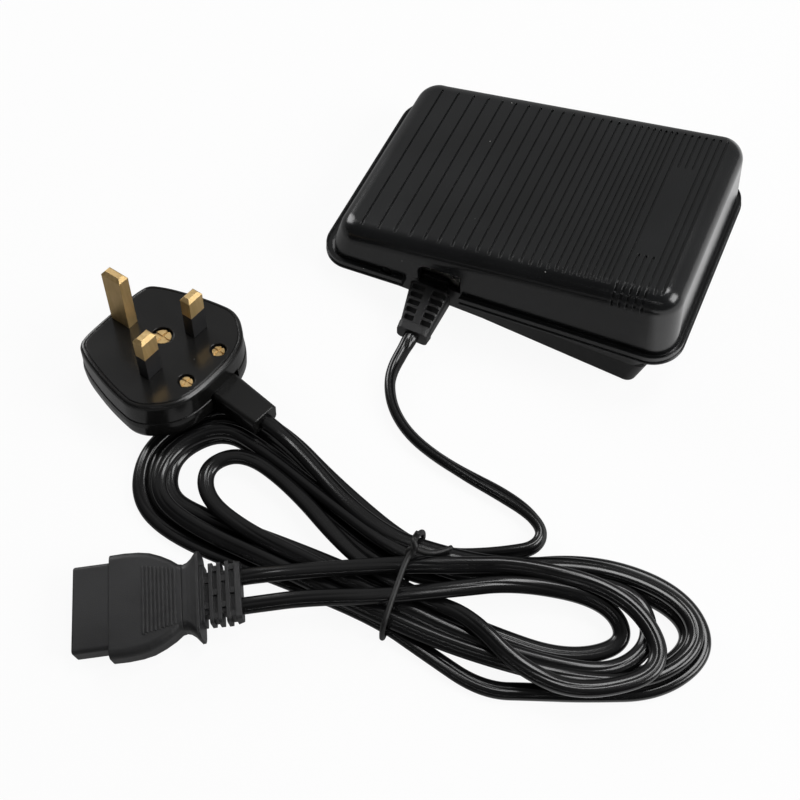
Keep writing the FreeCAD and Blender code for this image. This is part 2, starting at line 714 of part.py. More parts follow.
def plunger_guide():
    bore = PLUNGER_SIDE / 2 + GUIDE_CLEARANCE
    half = bore + GUIDE_WALL
    column = box(PLUNGER_X - half, PLUNGER_X + half, -half, half, FLOOR_TOP, GUIDE_TOP)
    base = box(PLUNGER_X - half, PLUNGER_X + half, -GUIDE_BASE_LENGTH / 2, GUIDE_BASE_LENGTH / 2,
               FLOOR_TOP, FLOOR_TOP + GUIDE_BASE_THICK)
    hole = box(PLUNGER_X - bore, PLUNGER_X + bore, -bore, bore, FLOOR_TOP + 1.0, GUIDE_TOP + 1)
    slot = box(PLUNGER_X - half - 1, PLUNGER_X, -GUIDE_SLOT / 2, GUIDE_SLOT / 2, FLOOR_TOP + 1.0, GUIDE_TOP + 1)
    return column.fuse(base).cut([hole, slot]).removeSplitter()


def plunger():
    half = PLUNGER_SIDE / 2
    head_z = PLUNGER_TOP - PLUNGER_HEAD_THICK - 1.0
    stem = box(PLUNGER_X - half, PLUNGER_X + half, -half, half, PLUNGER_TOP - PLUNGER_LENGTH, head_z)
    head = cylinder(PLUNGER_HEAD_RADIUS, Vector(PLUNGER_X, 0, head_z), Vector(PLUNGER_X, 0, head_z + PLUNGER_HEAD_THICK))
    dome = Part.makeSphere(14.0, Vector(PLUNGER_X, 0, PLUNGER_TOP - 14.0))
    crown = cylinder(4.5, Vector(PLUNGER_X, 0, head_z), Vector(PLUNGER_X, 0, PLUNGER_TOP + 1)).common(dome)
    return fuse_all([stem, head, crown])


def wiper_contact():
    x1 = PLUNGER_X - PLUNGER_SIDE / 2
    x0 = BOARD_X1 + TRACK_THICK + 0.4
    z0 = PLUNGER_TOP - PLUNGER_LENGTH + 0.5
    pad = box(x1 - WIPER_THICK, x1, -WIPER_WIDTH / 2, WIPER_WIDTH / 2, z0, z0 + WIPER_HEIGHT)
    arm = box(x0, x1, -WIPER_WIDTH / 2, WIPER_WIDTH / 2, z0 + WIPER_HEIGHT, z0 + WIPER_HEIGHT + WIPER_THICK)
    tip = box(x0, x0 + WIPER_THICK, -WIPER_WIDTH / 2, WIPER_WIDTH / 2, z0 + WIPER_HEIGHT - 1.6, z0 + WIPER_HEIGHT)
    return fuse_all([pad, arm, tip])


def arc_through(start, start_way, end, end_way):
    """One arc from start to end, given its unit directions there."""
    chord = end - start
    turn = start_way.getAngle(end_way)
    if turn < 0.002:
        return Part.LineSegment(start, end).toShape()
    outward = start_way - end_way
    outward.normalize()
    middle = (start + end) * 0.5 + outward * (chord.Length / 2 * math.tan(turn / 4))
    return Part.Arc(start, middle, end).toShape()


def biarc(start, start_way, end, end_way):
    """Two arcs that join smoothly and leave along start_way and arrive along end_way."""
    gap = end - start
    both = start_way + end_way
    spread = 2 * (1 - start_way.dot(end_way))
    if spread < 1e-9:
        reach = gap.dot(gap) / (4 * gap.dot(end_way))
    else:
        dot = gap.dot(both)
        reach = (-dot + math.sqrt(dot * dot + spread * gap.dot(gap))) / spread
    middle = (start + end + (start_way - end_way) * reach) * 0.5
    way = gap - both * reach
    way.normalize()
    return [arc_through(start, start_way, middle, way), arc_through(middle, way, end, end_way)]


def pipe(edges, start, way, radius):
    """A round tube along the edges, as one solid."""
    path = Part.Wire(edges)
    circle = Part.Wire([Part.Circle(start, way, radius).toShape()])
    tube = path.makePipeShell([circle], True, False)
    if not tube.isValid() or tube.Volume < 0:
        tube = Part.makeSolid(tube)
    share = tube.Volume / (math.pi * radius * radius * path.Length)
    print("tube of length %.1f: volume over section times length %.4f" % (path.Length, share))
    return tube


def coil_spring(x, y, z0, z1, radius, wire, turns):
    """A compression spring with its end turns drawn flatter."""
    quarters = turns * 4
    points = []
    for index in range(quarters + 1):
        share = index / quarters
        angle = index * math.pi / 2
        rise = z0 + wire / 2 + (z1 - z0 - wire) * share
        points.append(Vector(x + radius * math.cos(angle), y + radius * math.sin(angle), rise))
    slope = (z1 - z0 - wire) / (quarters * radius * math.pi / 2)
    ways = []
    for index in range(quarters + 1):
        angle = index * math.pi / 2
        way = Vector(-math.sin(angle), math.cos(angle), slope)
        way.normalize()
        ways.append(way)
    edges = []
    for index in range(quarters):
        edges.extend(biarc(points[index], ways[index], points[index + 1], ways[index + 1]))
    return pipe(edges, points[0], ways[0], wire / 2)


def return_springs():
    seat = FLOOR_TOP + SPRING_SEAT
    return Part.makeCompound([coil_spring(SPRING_X, side * SPRING_Y, seat + 0.1, SPRING_TOP - 0.2,
                                          SPRING_RADIUS, SPRING_WIRE, SPRING_TURNS) for side in (-1, 1)])


def plunger_spring():
    low = GUIDE_TOP + 0.1
    high = PLUNGER_TOP - PLUNGER_HEAD_THICK - 1.1
    return coil_spring(PLUNGER_X, 0, low, high, PLUNGER_SPRING_RADIUS, PLUNGER_SPRING_WIRE, PLUNGER_SPRING_TURNS)


# Circuit board

BOARD_TOP = BOARD_Z + BOARD_THICK


def circuit_board():
    board = box(BOARD_X0, BOARD_X1, -BOARD_HALF_WIDTH, BOARD_HALF_WIDTH, BOARD_Z, BOARD_TOP)
    holes = [cylinder(SCREW_RADIUS + 0.2, Vector(x, y, BOARD_Z - 1), Vector(x, y, BOARD_TOP + 1))
             for x, y in board_post_points()]
    return board.cut(holes)


def board_screws():
    screws = [screw(x, y, BOARD_TOP, BOARD_THICK + SCREW_LENGTH - 2.2) for x, y in board_post_points()]
    return Part.makeCompound(screws)


def resistor_track():
    return box(BOARD_X1, BOARD_X1 + TRACK_THICK, -TRACK_HALF_WIDTH, TRACK_HALF_WIDTH, BOARD_Z, TRACK_TOP)


def heat_sink():
    x0 = BOARD_X0 + 9
    plate = box(x0, x0 + 1.5, 4, 24, BOARD_TOP, BOARD_TOP + 14)
    foot = box(x0, x0 + 6, 4, 24, BOARD_TOP, BOARD_TOP + 1.5)
    fins = [box(x0 - 3.5, x0, 4 + 5 * index, 5.4 + 5 * index, BOARD_TOP, BOARD_TOP + 14) for index in range(4)]
    return fuse_all([plate, foot] + fins)


def triac():
    x0 = BOARD_X0 + 10.5
    body = box(x0, x0 + 4.4, 9, 19, BOARD_TOP + 3, BOARD_TOP + 12)
    legs = [box(x0 + 1.8, x0 + 2.6, 11 + 2.54 * index, 11.8 + 2.54 * index, BOARD_TOP + 1.5, BOARD_TOP + 3)
            for index in range(3)]
    return fuse_all([body] + legs)


def capacitor():
    body = rounded_prism(5, 13, 3, 21, 1.2, BOARD_TOP, BOARD_TOP + 12)
    return body.makeFillet(0.8, edges_where(body, lambda p: abs(p.z - BOARD_TOP - 12) < 0.01))


def choke():
    return Part.makeTorus(5.6, 2.4, Vector(8, -19, BOARD_TOP + 2.4), Vector(0, 0, 1))


def inner_leads():
    """Three leads from the clamp to the board's edge."""
    leads = []
    start_y = GUARD_FACE_Y + TUB_WALL + GUARD_FLANGE
    for index in range(3):
        x = GUARD_X + (index - 1) * 2.4
        low = FLOOR_TOP + 2.9
        end_x = BOARD_X0 + 2.5 + 2.6 * index
        end_y = -10.0 - 3.0 * index
        route = [(x, start_y, low), (x, -26.0, low), (x + 1.0, -19.0, low + 1.4), (end_x - 5.5, end_y - 1.5, low + 4.6),
                 (end_x, end_y, low + 4.4), (end_x, end_y, BOARD_TOP)]
        leads.append(tube_on_route("inner lead", route, 0.8))
    return Part.makeCompound(leads)


# Cords

def tube_on_route(name, route, radius):
    """A tube of straight runs joined by tangent arcs, each as large as its two runs allow."""
    points = [Vector(*point) for point in route]
    edges = []
    radii = []
    here = points[0]
    for index in range(1, len(points) - 1):
        before = points[index] - points[index - 1]
        after = points[index + 1] - points[index]
        turn = before.getAngle(after)
        shorter = min(before.Length, after.Length)
        bend = FREE_CORD_RADIUS_SHARE * shorter / math.tan(turn / 2)
        radii.append(bend)
        cut_back = FREE_CORD_RADIUS_SHARE * shorter
        way_in = Vector(before).normalize()
        way_out = Vector(after).normalize()
        start = points[index] - way_in * cut_back
        end = points[index] + way_out * cut_back
        edges.append(Part.LineSegment(here, start).toShape())
        edges.append(arc_through(start, way_in, end, way_out))
        here = end
    edges.append(Part.LineSegment(here, points[-1]).toShape())
    print(name, "bend radii", " ".join("%.0f" % bend for bend in radii))
    return pipe(edges, points[0], points[1] - points[0], radius)


CORD_RADIUS = CORD_DIAMETER / 2
CORD_LOW = CORD_RADIUS + CORD_FLOOR_GAP

# Free stretch from the pedal's guard to the hank
PEDAL_CORD_ROUTE = [
    (GUARD_END_X, GUARD_TIP_Y, GUARD_END_Z),
    (GUARD_END_X, -63.2, GUARD_END_Z),
    (-21.6, -67.6, 3.0),
    (-21.3, -73.0, CORD_LOW),
    (-19.6, -79.0, CORD_LOW),
    (-15.2, -86.3, CORD_LOW),
    (-6.6, -92.6, CORD_LOW),
    (4.6, -96.4, CORD_LOW),
    (17.6, -98.5, CORD_LOW),
    (31.0, -99.9, CORD_LOW),
    (41.6, -102.2, CORD_LOW),
    (47.6, -106.6, CORD_LOW),
    (47.0, -112.6, CORD_LOW),
    (40.6, -117.8, CORD_LOW),
    (31.8, -122.9, CORD_LOW),
    (25.0, -126.2, CORD_LOW),
]

PLUG_PLACE = Placement(Vector(PLUG_X, PLUG_Y, PLUG_FACE_Z), Rotation(Vector(0, 0, 1), PLUG_YAW))
PLUG_PLACE = PLUG_PLACE.multiply(Placement(Vector(), Rotation(Vector(0, 1, 0), PLUG_TILT_AXIS)))
PLUG_PLACE = PLUG_PLACE.multiply(Placement(Vector(), Rotation(Vector(1, 0, 0), PLUG_TILT_SIDE)))
PLUG_SLEEVE_Z = -11.2
SLEEVE_PLACE = Placement(Vector(PLUG_SLEEVE_PIVOT, PLUG_SLEEVE_SIDE, PLUG_SLEEVE_Z),
                         Rotation(Vector(0, 0, 1), PLUG_SLEEVE_TURN))
PLUG_CORD_END = PLUG_PLACE.multVec(SLEEVE_PLACE.multVec(Vector(PLUG_SLEEVE_LENGTH, 0, 0)))
PLUG_CORD_WAY = PLUG_PLACE.Rotation.multVec(SLEEVE_PLACE.Rotation.multVec(Vector(1, 0, 0)))


def layer_z(layer):
    return CORD_RADIUS + CORD_FLOOR_GAP + layer * LAYER_PITCH


def node(x, y, z, dx, dy, dz=0.0):
    """A point of a hank's route and the direction in which the cord passes it."""
    return (Vector(x, y, z), Vector(dx, dy, dz).normalize())


def slot(index, layer, heading):
    """A node where the hank passes the tie: slot 0 is the one nearest the pedal."""
    return node(TIE_X, SLOT_FIRST_Y - index * SLOT_PITCH, TIE_LIFT + layer_z(layer), heading, 0)


# Outermost half loops on the left and right of the tie, from the upper leg round to the lower leg
LEFT_LOOP = (
    (-20, -117.4, -1, 0.36), (-45, -108.4, -1, 0.16), (-66, -110.5, -0.85, -0.5), (-81.6, -131, -0.12, -1),
    (-76.5, -149.4, 0.6, -0.8), (-58, -157.5, 1, -0.05), (-20, -156.0, 1, 0.05),
)
RIGHT_LOOP = (
    (38, -124.8, 1, 0.50), (66, -110.0, 1, 0.22), (92, -108.6, 0.9, -0.3), (106.0, -120.5, 0.0, -1),
    (98, -138.1, -0.65, -0.75), (78, -150.6, -1, -0.28), (40, -156.2, -1, 0.0),
)


def half_loop(outline, insets, layer, backwards=False):
    """The nodes of one half loop, each moved inwards from the outermost one by its inset."""
    inward = 1 if outline is LEFT_LOOP else -1
    nodes = []
    for (x, y, dx, dy), inset in zip(outline, insets):
        way = Vector(dx, dy, 0).normalize()
        point = Vector(x, y, layer_z(layer)) + Vector(-way.y, way.x, 0) * (inward * inset)
        nodes.append((point, way))
    if backwards:
        nodes = [(point, way * -1) for point, way in reversed(nodes)]
    return nodes


def pedal_hank_nodes():
    """The pedal's cord in the hank: three loops left and three right in the lowest layer."""
    low = layer_z(0)
    middle = layer_z(1)
    high = layer_z(2)
    none = (0,) * 7
    one = (LOOP_SPACING,) * 7
    two = (LOOP_SPACING * 2,) * 7
    nodes = [node(25.0, -126.2, low, -6.8, -3.3), slot(0, 0, -1)]
    nodes += half_loop(LEFT_LOOP, none, 0) + [slot(5, 0, 1)]
    nodes += [node(30, -158.2, low, 0.95, -0.3), node(50, -161.4, low, 1, 0.08), node(64, -156.4, low, 0.9, 0.42)]
    nodes += half_loop(RIGHT_LOOP, none, 0, True)[1:] + [slot(1, 0, -1)]
    nodes += half_loop(LEFT_LOOP, one, 0) + [slot(4, 0, 1)]
    nodes += half_loop(RIGHT_LOOP, one, 0, True) + [slot(2, 0, -1)]
    nodes += half_loop(LEFT_LOOP, two, 0) + [slot(3, 0, 1)]
    nodes += [node(44, -144.6, low, 1, 0.02), node(68, -141.2, low, 0.95, 0.30)]
    nodes += [node(82.4, -129.6, low + 1.6, 0.1, 1, 0.25), node(70, -122.6, middle, -1, -0.12, 0.05)]
    nodes += [node(47.5, -129.2, high - 0.3, -0.84, -0.52, 0.12), node(29, -140.0, high + 1.2, -0.82, -0.56, 0.06)]
    nodes += [node(TIE_X, -150.6, TIE_LIFT + high, -1, -0.5), node(-9, -160.4, high + 0.3, -0.86, -0.46, -0.2)]
    nodes.append((connector_cord_point(1), CONNECTOR_WAY))
    return nodes


def mains_hank_nodes():
    """The mains cord in the hank: in the middle layer, its last loop on top."""
    middle = layer_z(1)
    high = layer_z(2)
    nodes = [MAINS_HANK_START, slot(0, 1, 1)]
    nodes += half_loop(RIGHT_LOOP, (0.4, 2.6, 3.4, 3.8, 3.4, 2, 0.6), 1) + [slot(5, 1, -1)]
    nodes += half_loop(LEFT_LOOP, (6.6, 11.2, 11.6, 10.4, 7, 5, 2), 1, True) + [slot(1, 1, 1)]
    nodes += [node(40, -130.6, middle, 1, 0.42), node(64, -118.6, middle, 1, 0.16)]
    nodes += [node(81, -116.6, middle, 0.95, -0.3), node(89.6, -127, middle, 0, -1)]
    nodes += [node(83, -139.6, middle, -0.8, -0.6), node(66, -146.0, middle, -1, -0.16)]
    nodes += [node(40, -150.2, middle, -1, -0.1), slot(4, 1, -1)]
    nodes += [node(-14, -148.2, middle + 0.3, -1, 0.05), node(-38, -147.4, middle, -0.98, 0.16)]
    nodes += [node(-53.5, -142.0, middle, -0.75, 0.7), node(-58.6, -133, middle, 0, 1)]
    nodes += [node(-50, -125.6, middle, 1, 0.12), node(-32, -128.6, middle, 0.9, -0.4)]
    nodes += [node(-6, -140.2, middle + 1.2, 0.92, -0.38), node(TIE_X, -144.2, TIE_LIFT + middle, 1, -0.08)]
    nodes += [node(25, -144.4, middle + 1.3, 1, 0.0, 0.02), node(39, -144.8, high, 0.97, -0.25)]
    nodes += [node(58, -154.2, high, 0.93, -0.25), node(76, -152.8, high, 0.97, 0.24)]
    nodes += [node(96.6, -134, high, 0.02, 1), node(78, -119.4, high, -1, 0.02)]
    nodes += [node(47, -122.6, high, -0.92, -0.38), node(28, -131.8, high + 1.2, -0.87, -0.48, 0.06)]
    nodes += [node(TIE_X, -139.2, TIE_LIFT + high, -1, -0.45), node(-14, -153.4, high + 0.9, -0.87, -0.46, -0.12)]
    nodes.append((connector_cord_point(-1), CONNECTOR_WAY))
    return nodes


MAINS_HANK_START = node(-14.0, -121.6, layer_z(1) + 0.6, 0.93, -0.37)

CONNECTOR_PLACE = Placement(Vector(CONNECTOR_X, CONNECTOR_Y, CONNECTOR_Z), Rotation(Vector(0, 0, 1), CONNECTOR_YAW))
CONNECTOR_PLACE = CONNECTOR_PLACE.multiply(Placement(Vector(), Rotation(Vector(0, 1, 0), CONNECTOR_NOSE_DOWN)))
CONNECTOR_WAY = CONNECTOR_PLACE.Rotation.multVec(Vector(1, 0, 0))
CONNECTOR_CORD_SPACING = 4.7


def connector_cord_point(side):
    """Where one of the two cords enters the connector's relief."""
    return CONNECTOR_PLACE.multVec(Vector(0, side * CONNECTOR_CORD_SPACING, 0))


def hank_path(nodes):
    edges = []
    for (start, way), (end, end_way) in zip(nodes, nodes[1:]):
        edges.extend(biarc(start, way, end, end_way))
    return edges


def path_points(edges, step):
    points = []
    for edge in edges:
        count = max(2, int(edge.Length / step) + 1)
        span = edge.LastParameter - edge.FirstParameter
        for index in range(count):
            points.append(edge.valueAt(edge.FirstParameter + span * index / count))
    return points


def least_gap(name, edges_a, edges_b, skip):
    """Least distance between two centre lines, or one and itself, less a diameter."""
    step = 1.5
    points_a = path_points(edges_a, step)
    points_b = path_points(edges_b, step)
    least = 1e9
    where = None
    for i, p in enumerate(points_a):
        for j, q in enumerate(points_b):
            if skip and abs(i - j) < skip:
                continue
            gap = p.distanceToPoint(q)
            if gap < least:
                least = gap
                where = (p + q) * 0.5
    print("%s: least gap %.2f at %.0f %.0f %.0f" % (name, least - CORD_DIAMETER, where.x, where.y, where.z))


def pedal_cord():
    return tube_on_route("pedal cord", PEDAL_CORD_ROUTE, CORD_RADIUS)


def mains_cord_route():
    start = PLUG_CORD_END
    end, way = MAINS_HANK_START
    first = start + PLUG_CORD_WAY * 8.0
    last = end - way * 13.0
    middle = Vector(-34.0, -114.4, 8.6)
    return [tuple(start), tuple(first), tuple(middle), tuple(last), tuple(end)]


def mains_cord():
    return tube_on_route("mains cord", mains_cord_route(), CORD_RADIUS)


def hank(name, nodes):
    edges = hank_path(nodes)
    radii = [edge.Curve.Radius for edge in edges if hasattr(edge.Curve, "Radius")]
    print("%s: least bend radius %.1f" % (name, min(radii)))
    least_gap(name, edges, edges, 12)
    return pipe(edges, nodes[0][0], nodes[0][1], CORD_RADIUS)


def cord_tie():
    """A thin wire round the waist of the hank, with its two twisted ends."""
    radius = TIE_THICK / 2
    y0 = SLOT_FIRST_Y - 5 * SLOT_PITCH - CORD_RADIUS - radius - 0.1
    y1 = SLOT_FIRST_Y + CORD_RADIUS + radius + 0.1
    z0 = radius + 0.05
    z1 = TIE_LIFT + layer_z(2) + CORD_RADIUS + radius + 0.1
    ring = rounded_rectangle(y0, y1, z0, z1, 3.0, along(TIE_X))
    start = Vector(TIE_X, y1, (z0 + z1) / 2)
    profile = Part.Wire([Part.Circle(start, Vector(0, 0, 1), radius).toShape()])
    band = ring.makePipeShell([profile], True, False)
    knot = Part.makeTorus(1.7, 1.0, Vector(TIE_X, y1 - 4, z1 + 1.2), Vector(0, 1, 0.4))
    tail_route = [(TIE_X + 1.2, y1 - 3.6, z1 + 1.4), (TIE_X + 5.0, y1 - 1.4, z1 + 2.4),
                  (TIE_X + 9.4, y1 - 0.4, z1 + 1.8), (TIE_X + 13.2, y1 + 1.4, z1 + 0.2)]
    stub_route = [(TIE_X + 0.2, y1 - 3.0, z1 + 1.6), (TIE_X - 0.8, y1 - 0.4, z1 + 2.8),
                  (TIE_X - 0.6, y1 + 2.2, z1 + 2.2)]
    pieces = [band, knot, tube_on_route("tie end", tail_route, 0.8), tube_on_route("tie stub", stub_route, 0.8)]
    return fuse_all(pieces)


# Machine connector, in its own frame: +X from the cord towards the front, +Z up

CONNECTOR_STATIONS = ((17.9, 10.5), (19.0, 10.7), (21.2, 12.4), (24.3, 14.2), (27.8, 15.7), (31.3, 16.4),
                      (35.8, 16.7), (CONNECTOR_FRONT, 16.6))


def connector_section(u, half, tall, radius):
    return rounded_rectangle(-half, half, -tall / 2, tall / 2, radius, along(u))


def connector_body():
    """The moulded grip, waisted towards the cord, with ribs for the fingers."""
    wires = [connector_section(u, half, CONNECTOR_THICK, 2.4) for u, half in CONNECTOR_STATIONS]
    body = loft(*wires)
    ribs = []
    for index in range(GRIP_RIBS):
        u = GRIP_FIRST_U + index * GRIP_RIB_PITCH
        reach = GRIP_FIRST_REACH + index * GRIP_REACH_STEP
        for side in (-1, 1):
            z0, z1 = sorted((side * (CONNECTOR_THICK / 2 - 0.5), side * (CONNECTOR_THICK / 2 + GRIP_RIB_PROUD)))
            ribs.append(box(u, u + GRIP_RIB_WIDTH, -reach, reach, z0, z1))
    pocket = box(CONNECTOR_FRONT - INSERT_ROOT, CONNECTOR_FRONT + 1, -INSERT_ROOT_WIDTH / 2, INSERT_ROOT_WIDTH / 2,
                 -INSERT_ROOT_THICK / 2, INSERT_ROOT_THICK / 2)
    return body.multiFuse(ribs).cut(pocket).removeSplitter()


def contact_points():
    first = -(CONTACT_COUNT - 1) / 2 * CONTACT_PITCH
    return [first + index * CONTACT_PITCH for index in range(CONTACT_COUNT)]


def connector_insert():
    """The socket block, its root held in the grip."""
    front = CONNECTOR_FRONT + INSERT_LENGTH
    low = INSERT_RISE - INSERT_THICK / 2
    high = INSERT_RISE + INSERT_THICK / 2
    block = loft(*[rounded_rectangle(-INSERT_WIDTH / 2, INSERT_WIDTH / 2, low, high, 1.2, along(u))
                   for u in (CONNECTOR_FRONT, front)])
    block = block.makeFillet(0.7, edges_where(block, lambda p: abs(p.x - front) < 0.01))
    root = box(CONNECTOR_FRONT - INSERT_ROOT, CONNECTOR_FRONT, -INSERT_ROOT_WIDTH / 2, INSERT_ROOT_WIDTH / 2,
               -INSERT_ROOT_THICK / 2, INSERT_ROOT_THICK / 2)
    bores = [cylinder(CONTACT_BORE + 0.4, Vector(front - CONTACT_DEPTH, y, 0), Vector(front + 1, y, 0))
             for y in contact_points()]
    return block.fuse(root).cut(bores)


def connector_contacts():
    front = CONNECTOR_FRONT + INSERT_LENGTH
    tubes = []
    for y in contact_points():
        outer = cylinder(CONTACT_BORE + 0.35, Vector(front - CONTACT_DEPTH, y, 0), Vector(front - 1.0, y, 0))
        inner = cylinder(CONTACT_RADIUS - 0.3, Vector(front - CONTACT_DEPTH + 1, y, 0), Vector(front, y, 0))
        tubes.append(outer.cut(inner))
    return Part.makeCompound(tubes)


FINGER_GUARD_STATIONS = ((12.4, 14.0, 11.0), (13.2, 14.0, 11.0), (13.9, 13.2, 10.4), (15.0, 11.9, 9.6),
                         (16.4, 10.9, 8.8), (17.9, 10.5, 8.4))
RELIEF_FINS_U = (11.85, 9.15, 6.55, 4.0)


def connector_relief():
    """Finger guard that flares up from the grip, and the finned relief behind it."""
    tall = FINGER_GUARD_HEIGHT
    share = FINGER_GUARD_HALF_WIDTH / FINGER_GUARD_STATIONS[0][1]
    stations = [(u, half * share if u < 14 else half, min(high, tall)) for u, half, high in FINGER_GUARD_STATIONS]
    pieces = [loft(connector_section(*stations[0], 3.0), connector_section(*stations[1], 3.0))]
    pieces.append(loft(*[connector_section(u, half, high, 2.6) for u, half, high in stations[1:]]))
    root = stations[0][0]
    pieces.append(box(1.0, root + 0.5, -RELIEF_CORE_HALF, RELIEF_CORE_HALF,
                      -RELIEF_CORE_HEIGHT / 2, RELIEF_CORE_HEIGHT / 2))
    for index, centre in enumerate(RELIEF_FINS_U):
        half = RELIEF_HALF_WIDTH + 0.1 * index
        u0 = centre - RELIEF_FIN_THICK / 2
        u1 = centre + RELIEF_FIN_THICK / 2
        if index == 0:
            u1 = root + 0.2
        pieces.append(loft(connector_section(u0, half, RELIEF_HEIGHT, 1.2),
                           connector_section(u1, half, RELIEF_HEIGHT, 1.2)))
        reach = RELIEF_HEIGHT / 2 - 0.4
        offsets = (0.0, 7.6, -7.6) if index % 2 else (4.2, -4.2)
        for y in offsets:
            pieces.append(box(u0 - 1.6, u0 + 0.2, y - 0.9, y + 0.9, -reach, reach))
    half = RELIEF_HALF_WIDTH
    pieces.append(loft(connector_section(0, half - 0.4, RELIEF_HEIGHT - 0.4, 1.4),
                       connector_section(RELIEF_COLLAR, half, RELIEF_HEIGHT, 1.2)))
    return fuse_all(pieces)


# Mains plug, in its own frame: origin on the face between the two live pins, +X towards the cord

# Half of the outline seen from the pins: places and directions, from the earth end round to the cord end
PLUG_OUTLINE = ((-28.9, 0, 0, 1), (-28.7, 10.5, 0.05, 1), (-25.3, 18.6, 0.9, 0.5), (-11.5, 23.7, 1, 0.28),
                (1.0, 26.2, 1, 0.12), (9.5, 23.8, 0.8, -0.62), (16.4, 16.2, 0.45, -0.9), (18.7, 7.0, 0.08, -1),
                (18.9, 0, 0, -1))
PLUG_FACE_STATIONS = ((0.4, -PLUG_SPLIT), (0.55, -1.5), (0.8, -0.7), (1.25, -0.2), (1.9, 0.0))
PLUG_BACK_STATIONS = ((0.2, -PLUG_SPLIT), (0.0, -PLUG_SPLIT - 2.0), (0.15, -PLUG_THICK + 3.4),
                      (0.7, -PLUG_THICK + 1.7), (1.7, -PLUG_THICK + 0.5), (3.0, -PLUG_THICK))
PLUG_RIM_GROOVE = (2.05, 2.4)
PLUG_RIM_GROOVE_DEPTH = 0.3


def plug_wire(inset, z):
    """The plug's outline moved inwards by inset, in smoothly joined arcs."""
    path = [(x, y, dx, dy) for x, y, dx, dy in PLUG_OUTLINE]
    path += [(x, -y, -dx, dy) for x, y, dx, dy in reversed(PLUG_OUTLINE[1:-1])]
    nodes = []
    for x, y, dx, dy in path:
        way = Vector(dx, dy, 0).normalize()
        nodes.append((Vector(x, y, z) + Vector(way.y, -way.x, 0) * inset, way))
    edges = []
    for (start, way), (end, end_way) in zip(nodes, nodes[1:] + nodes[:1]):
        edges.extend(biarc(start, way, end, end_way))
    return Part.Wire(edges)


def plug_shell(stations):
    pieces = []
    for (inset0, z0), (inset1, z1) in zip(stations, stations[1:]):
        pieces.append(loft(plug_wire(inset0, z0), plug_wire(inset1, z1)))
    return fuse_all(pieces)


def plug_prism(inset, z0, z1):
    return loft(plug_wire(inset, z0), plug_wire(inset, z1))


def live_points():
    return [(0.0, side * PIN_SPACING_Y / 2) for side in (-1, 1)]


def plug_screw_points():
    return [(-7.3, 2.3, PLUG_BIG_SCREW_RADIUS), (11.7, 8.8, PLUG_SCREW_RADIUS), (11.9, -7.4, PLUG_SCREW_RADIUS)]


def pin_box(x, y, long_x, long_y, z0, z1):
    return box(x - long_x / 2, x + long_x / 2, y - long_y / 2, y + long_y / 2, z0, z1)


def plug_base():
    """The shell that carries the pins."""
    shell = plug_shell(PLUG_FACE_STATIONS)
    hollow = plug_prism(PLUG_WALL + 0.5, -PLUG_SPLIT - 1, -2.6)
    body = shell.cut(hollow)
    cuts = []
    gap = 0.0
    for x, y in live_points():
        cuts.append(pin_box(x, y, LIVE_PIN_SHORT + gap, LIVE_PIN_LONG + gap, -PLUG_SPLIT, 1))
    cuts.append(pin_box(-PIN_SPACING_X, 0, EARTH_PIN_LONG + gap, EARTH_PIN_SHORT + gap, -PLUG_SPLIT, 1))
    for x, y, radius in plug_screw_points():
        cuts.append(cylinder(radius + 0.7, Vector(x, y, -1.6), Vector(x, y, 1)))
    cuts.append(sleeve_slot())
    outer, inner = PLUG_RIM_GROOVE
    cuts.append(plug_prism(outer, -PLUG_RIM_GROOVE_DEPTH, 1).cut(plug_prism(inner, -1, 2)))
    return body.cut(cuts)


def sleeve_slot():
    half = PLUG_SLEEVE_WIDTH / 2 + 0.9
    return box(PLUG_SLEEVE_PIVOT - 3.6, 40, PLUG_SLEEVE_SIDE - half, PLUG_SLEEVE_SIDE + half, PLUG_SLEEVE_Z - PLUG_SLEEVE_HEIGHT / 2,
               PLUG_SLEEVE_Z + PLUG_SLEEVE_HEIGHT / 2)


def plug_cover():
    """The back shell, with rounded edges."""
    shell = plug_shell(PLUG_BACK_STATIONS)
    hollow = plug_prism(PLUG_WALL + 1.0, -PLUG_THICK + PLUG_WALL, -PLUG_SPLIT + 1)
    return shell.cut([hollow, sleeve_slot()]).removeSplitter()


def blade(x, y, long_x, long_y, length):
    """A pin with its chamfered tip."""
    body = pin_box(x, y, long_x, long_y, -PIN_ROOT, length - PIN_TIP)
    foot = rectangle_wire(x, y, long_x, long_y, length - PIN_TIP)
    tip = rectangle_wire(x, y, long_x - 2 * PIN_TIP * 0.8, long_y - 2 * PIN_TIP * 0.8, length)
    return body.fuse(loft(foot, tip)).removeSplitter()


def rectangle_wire(x, y, long_x, long_y, z):
    a = long_x / 2
    b = long_y / 2
    corners = [Vector(x - a, y - b, z), Vector(x + a, y - b, z), Vector(x + a, y + b, z), Vector(x - a, y + b, z)]
    return Part.makePolygon(corners + corners[:1])


def sleeve_ring(x, y):
    wall = PIN_SLEEVE_WALL
    return pin_box(x, y, LIVE_PIN_SHORT, LIVE_PIN_LONG, 0, PIN_SLEEVE_LENGTH).cut(
        pin_box(x, y, LIVE_PIN_SHORT - 2 * wall, LIVE_PIN_LONG - 2 * wall, -1, PIN_SLEEVE_LENGTH + 1))


def live_pin(side):
    """A live pin, cut back where its insulating sleeve sits flush."""
    y = side * PIN_SPACING_Y / 2
    return blade(0.0, y, LIVE_PIN_SHORT, LIVE_PIN_LONG, LIVE_PIN_LENGTH).cut(sleeve_ring(0.0, y))


def earth_pin():
    return blade(-PIN_SPACING_X, 0, EARTH_PIN_LONG, EARTH_PIN_SHORT, EARTH_PIN_LENGTH)


def pin_sleeves():
    return Part.makeCompound([sleeve_ring(x, y) for x, y in live_points()])


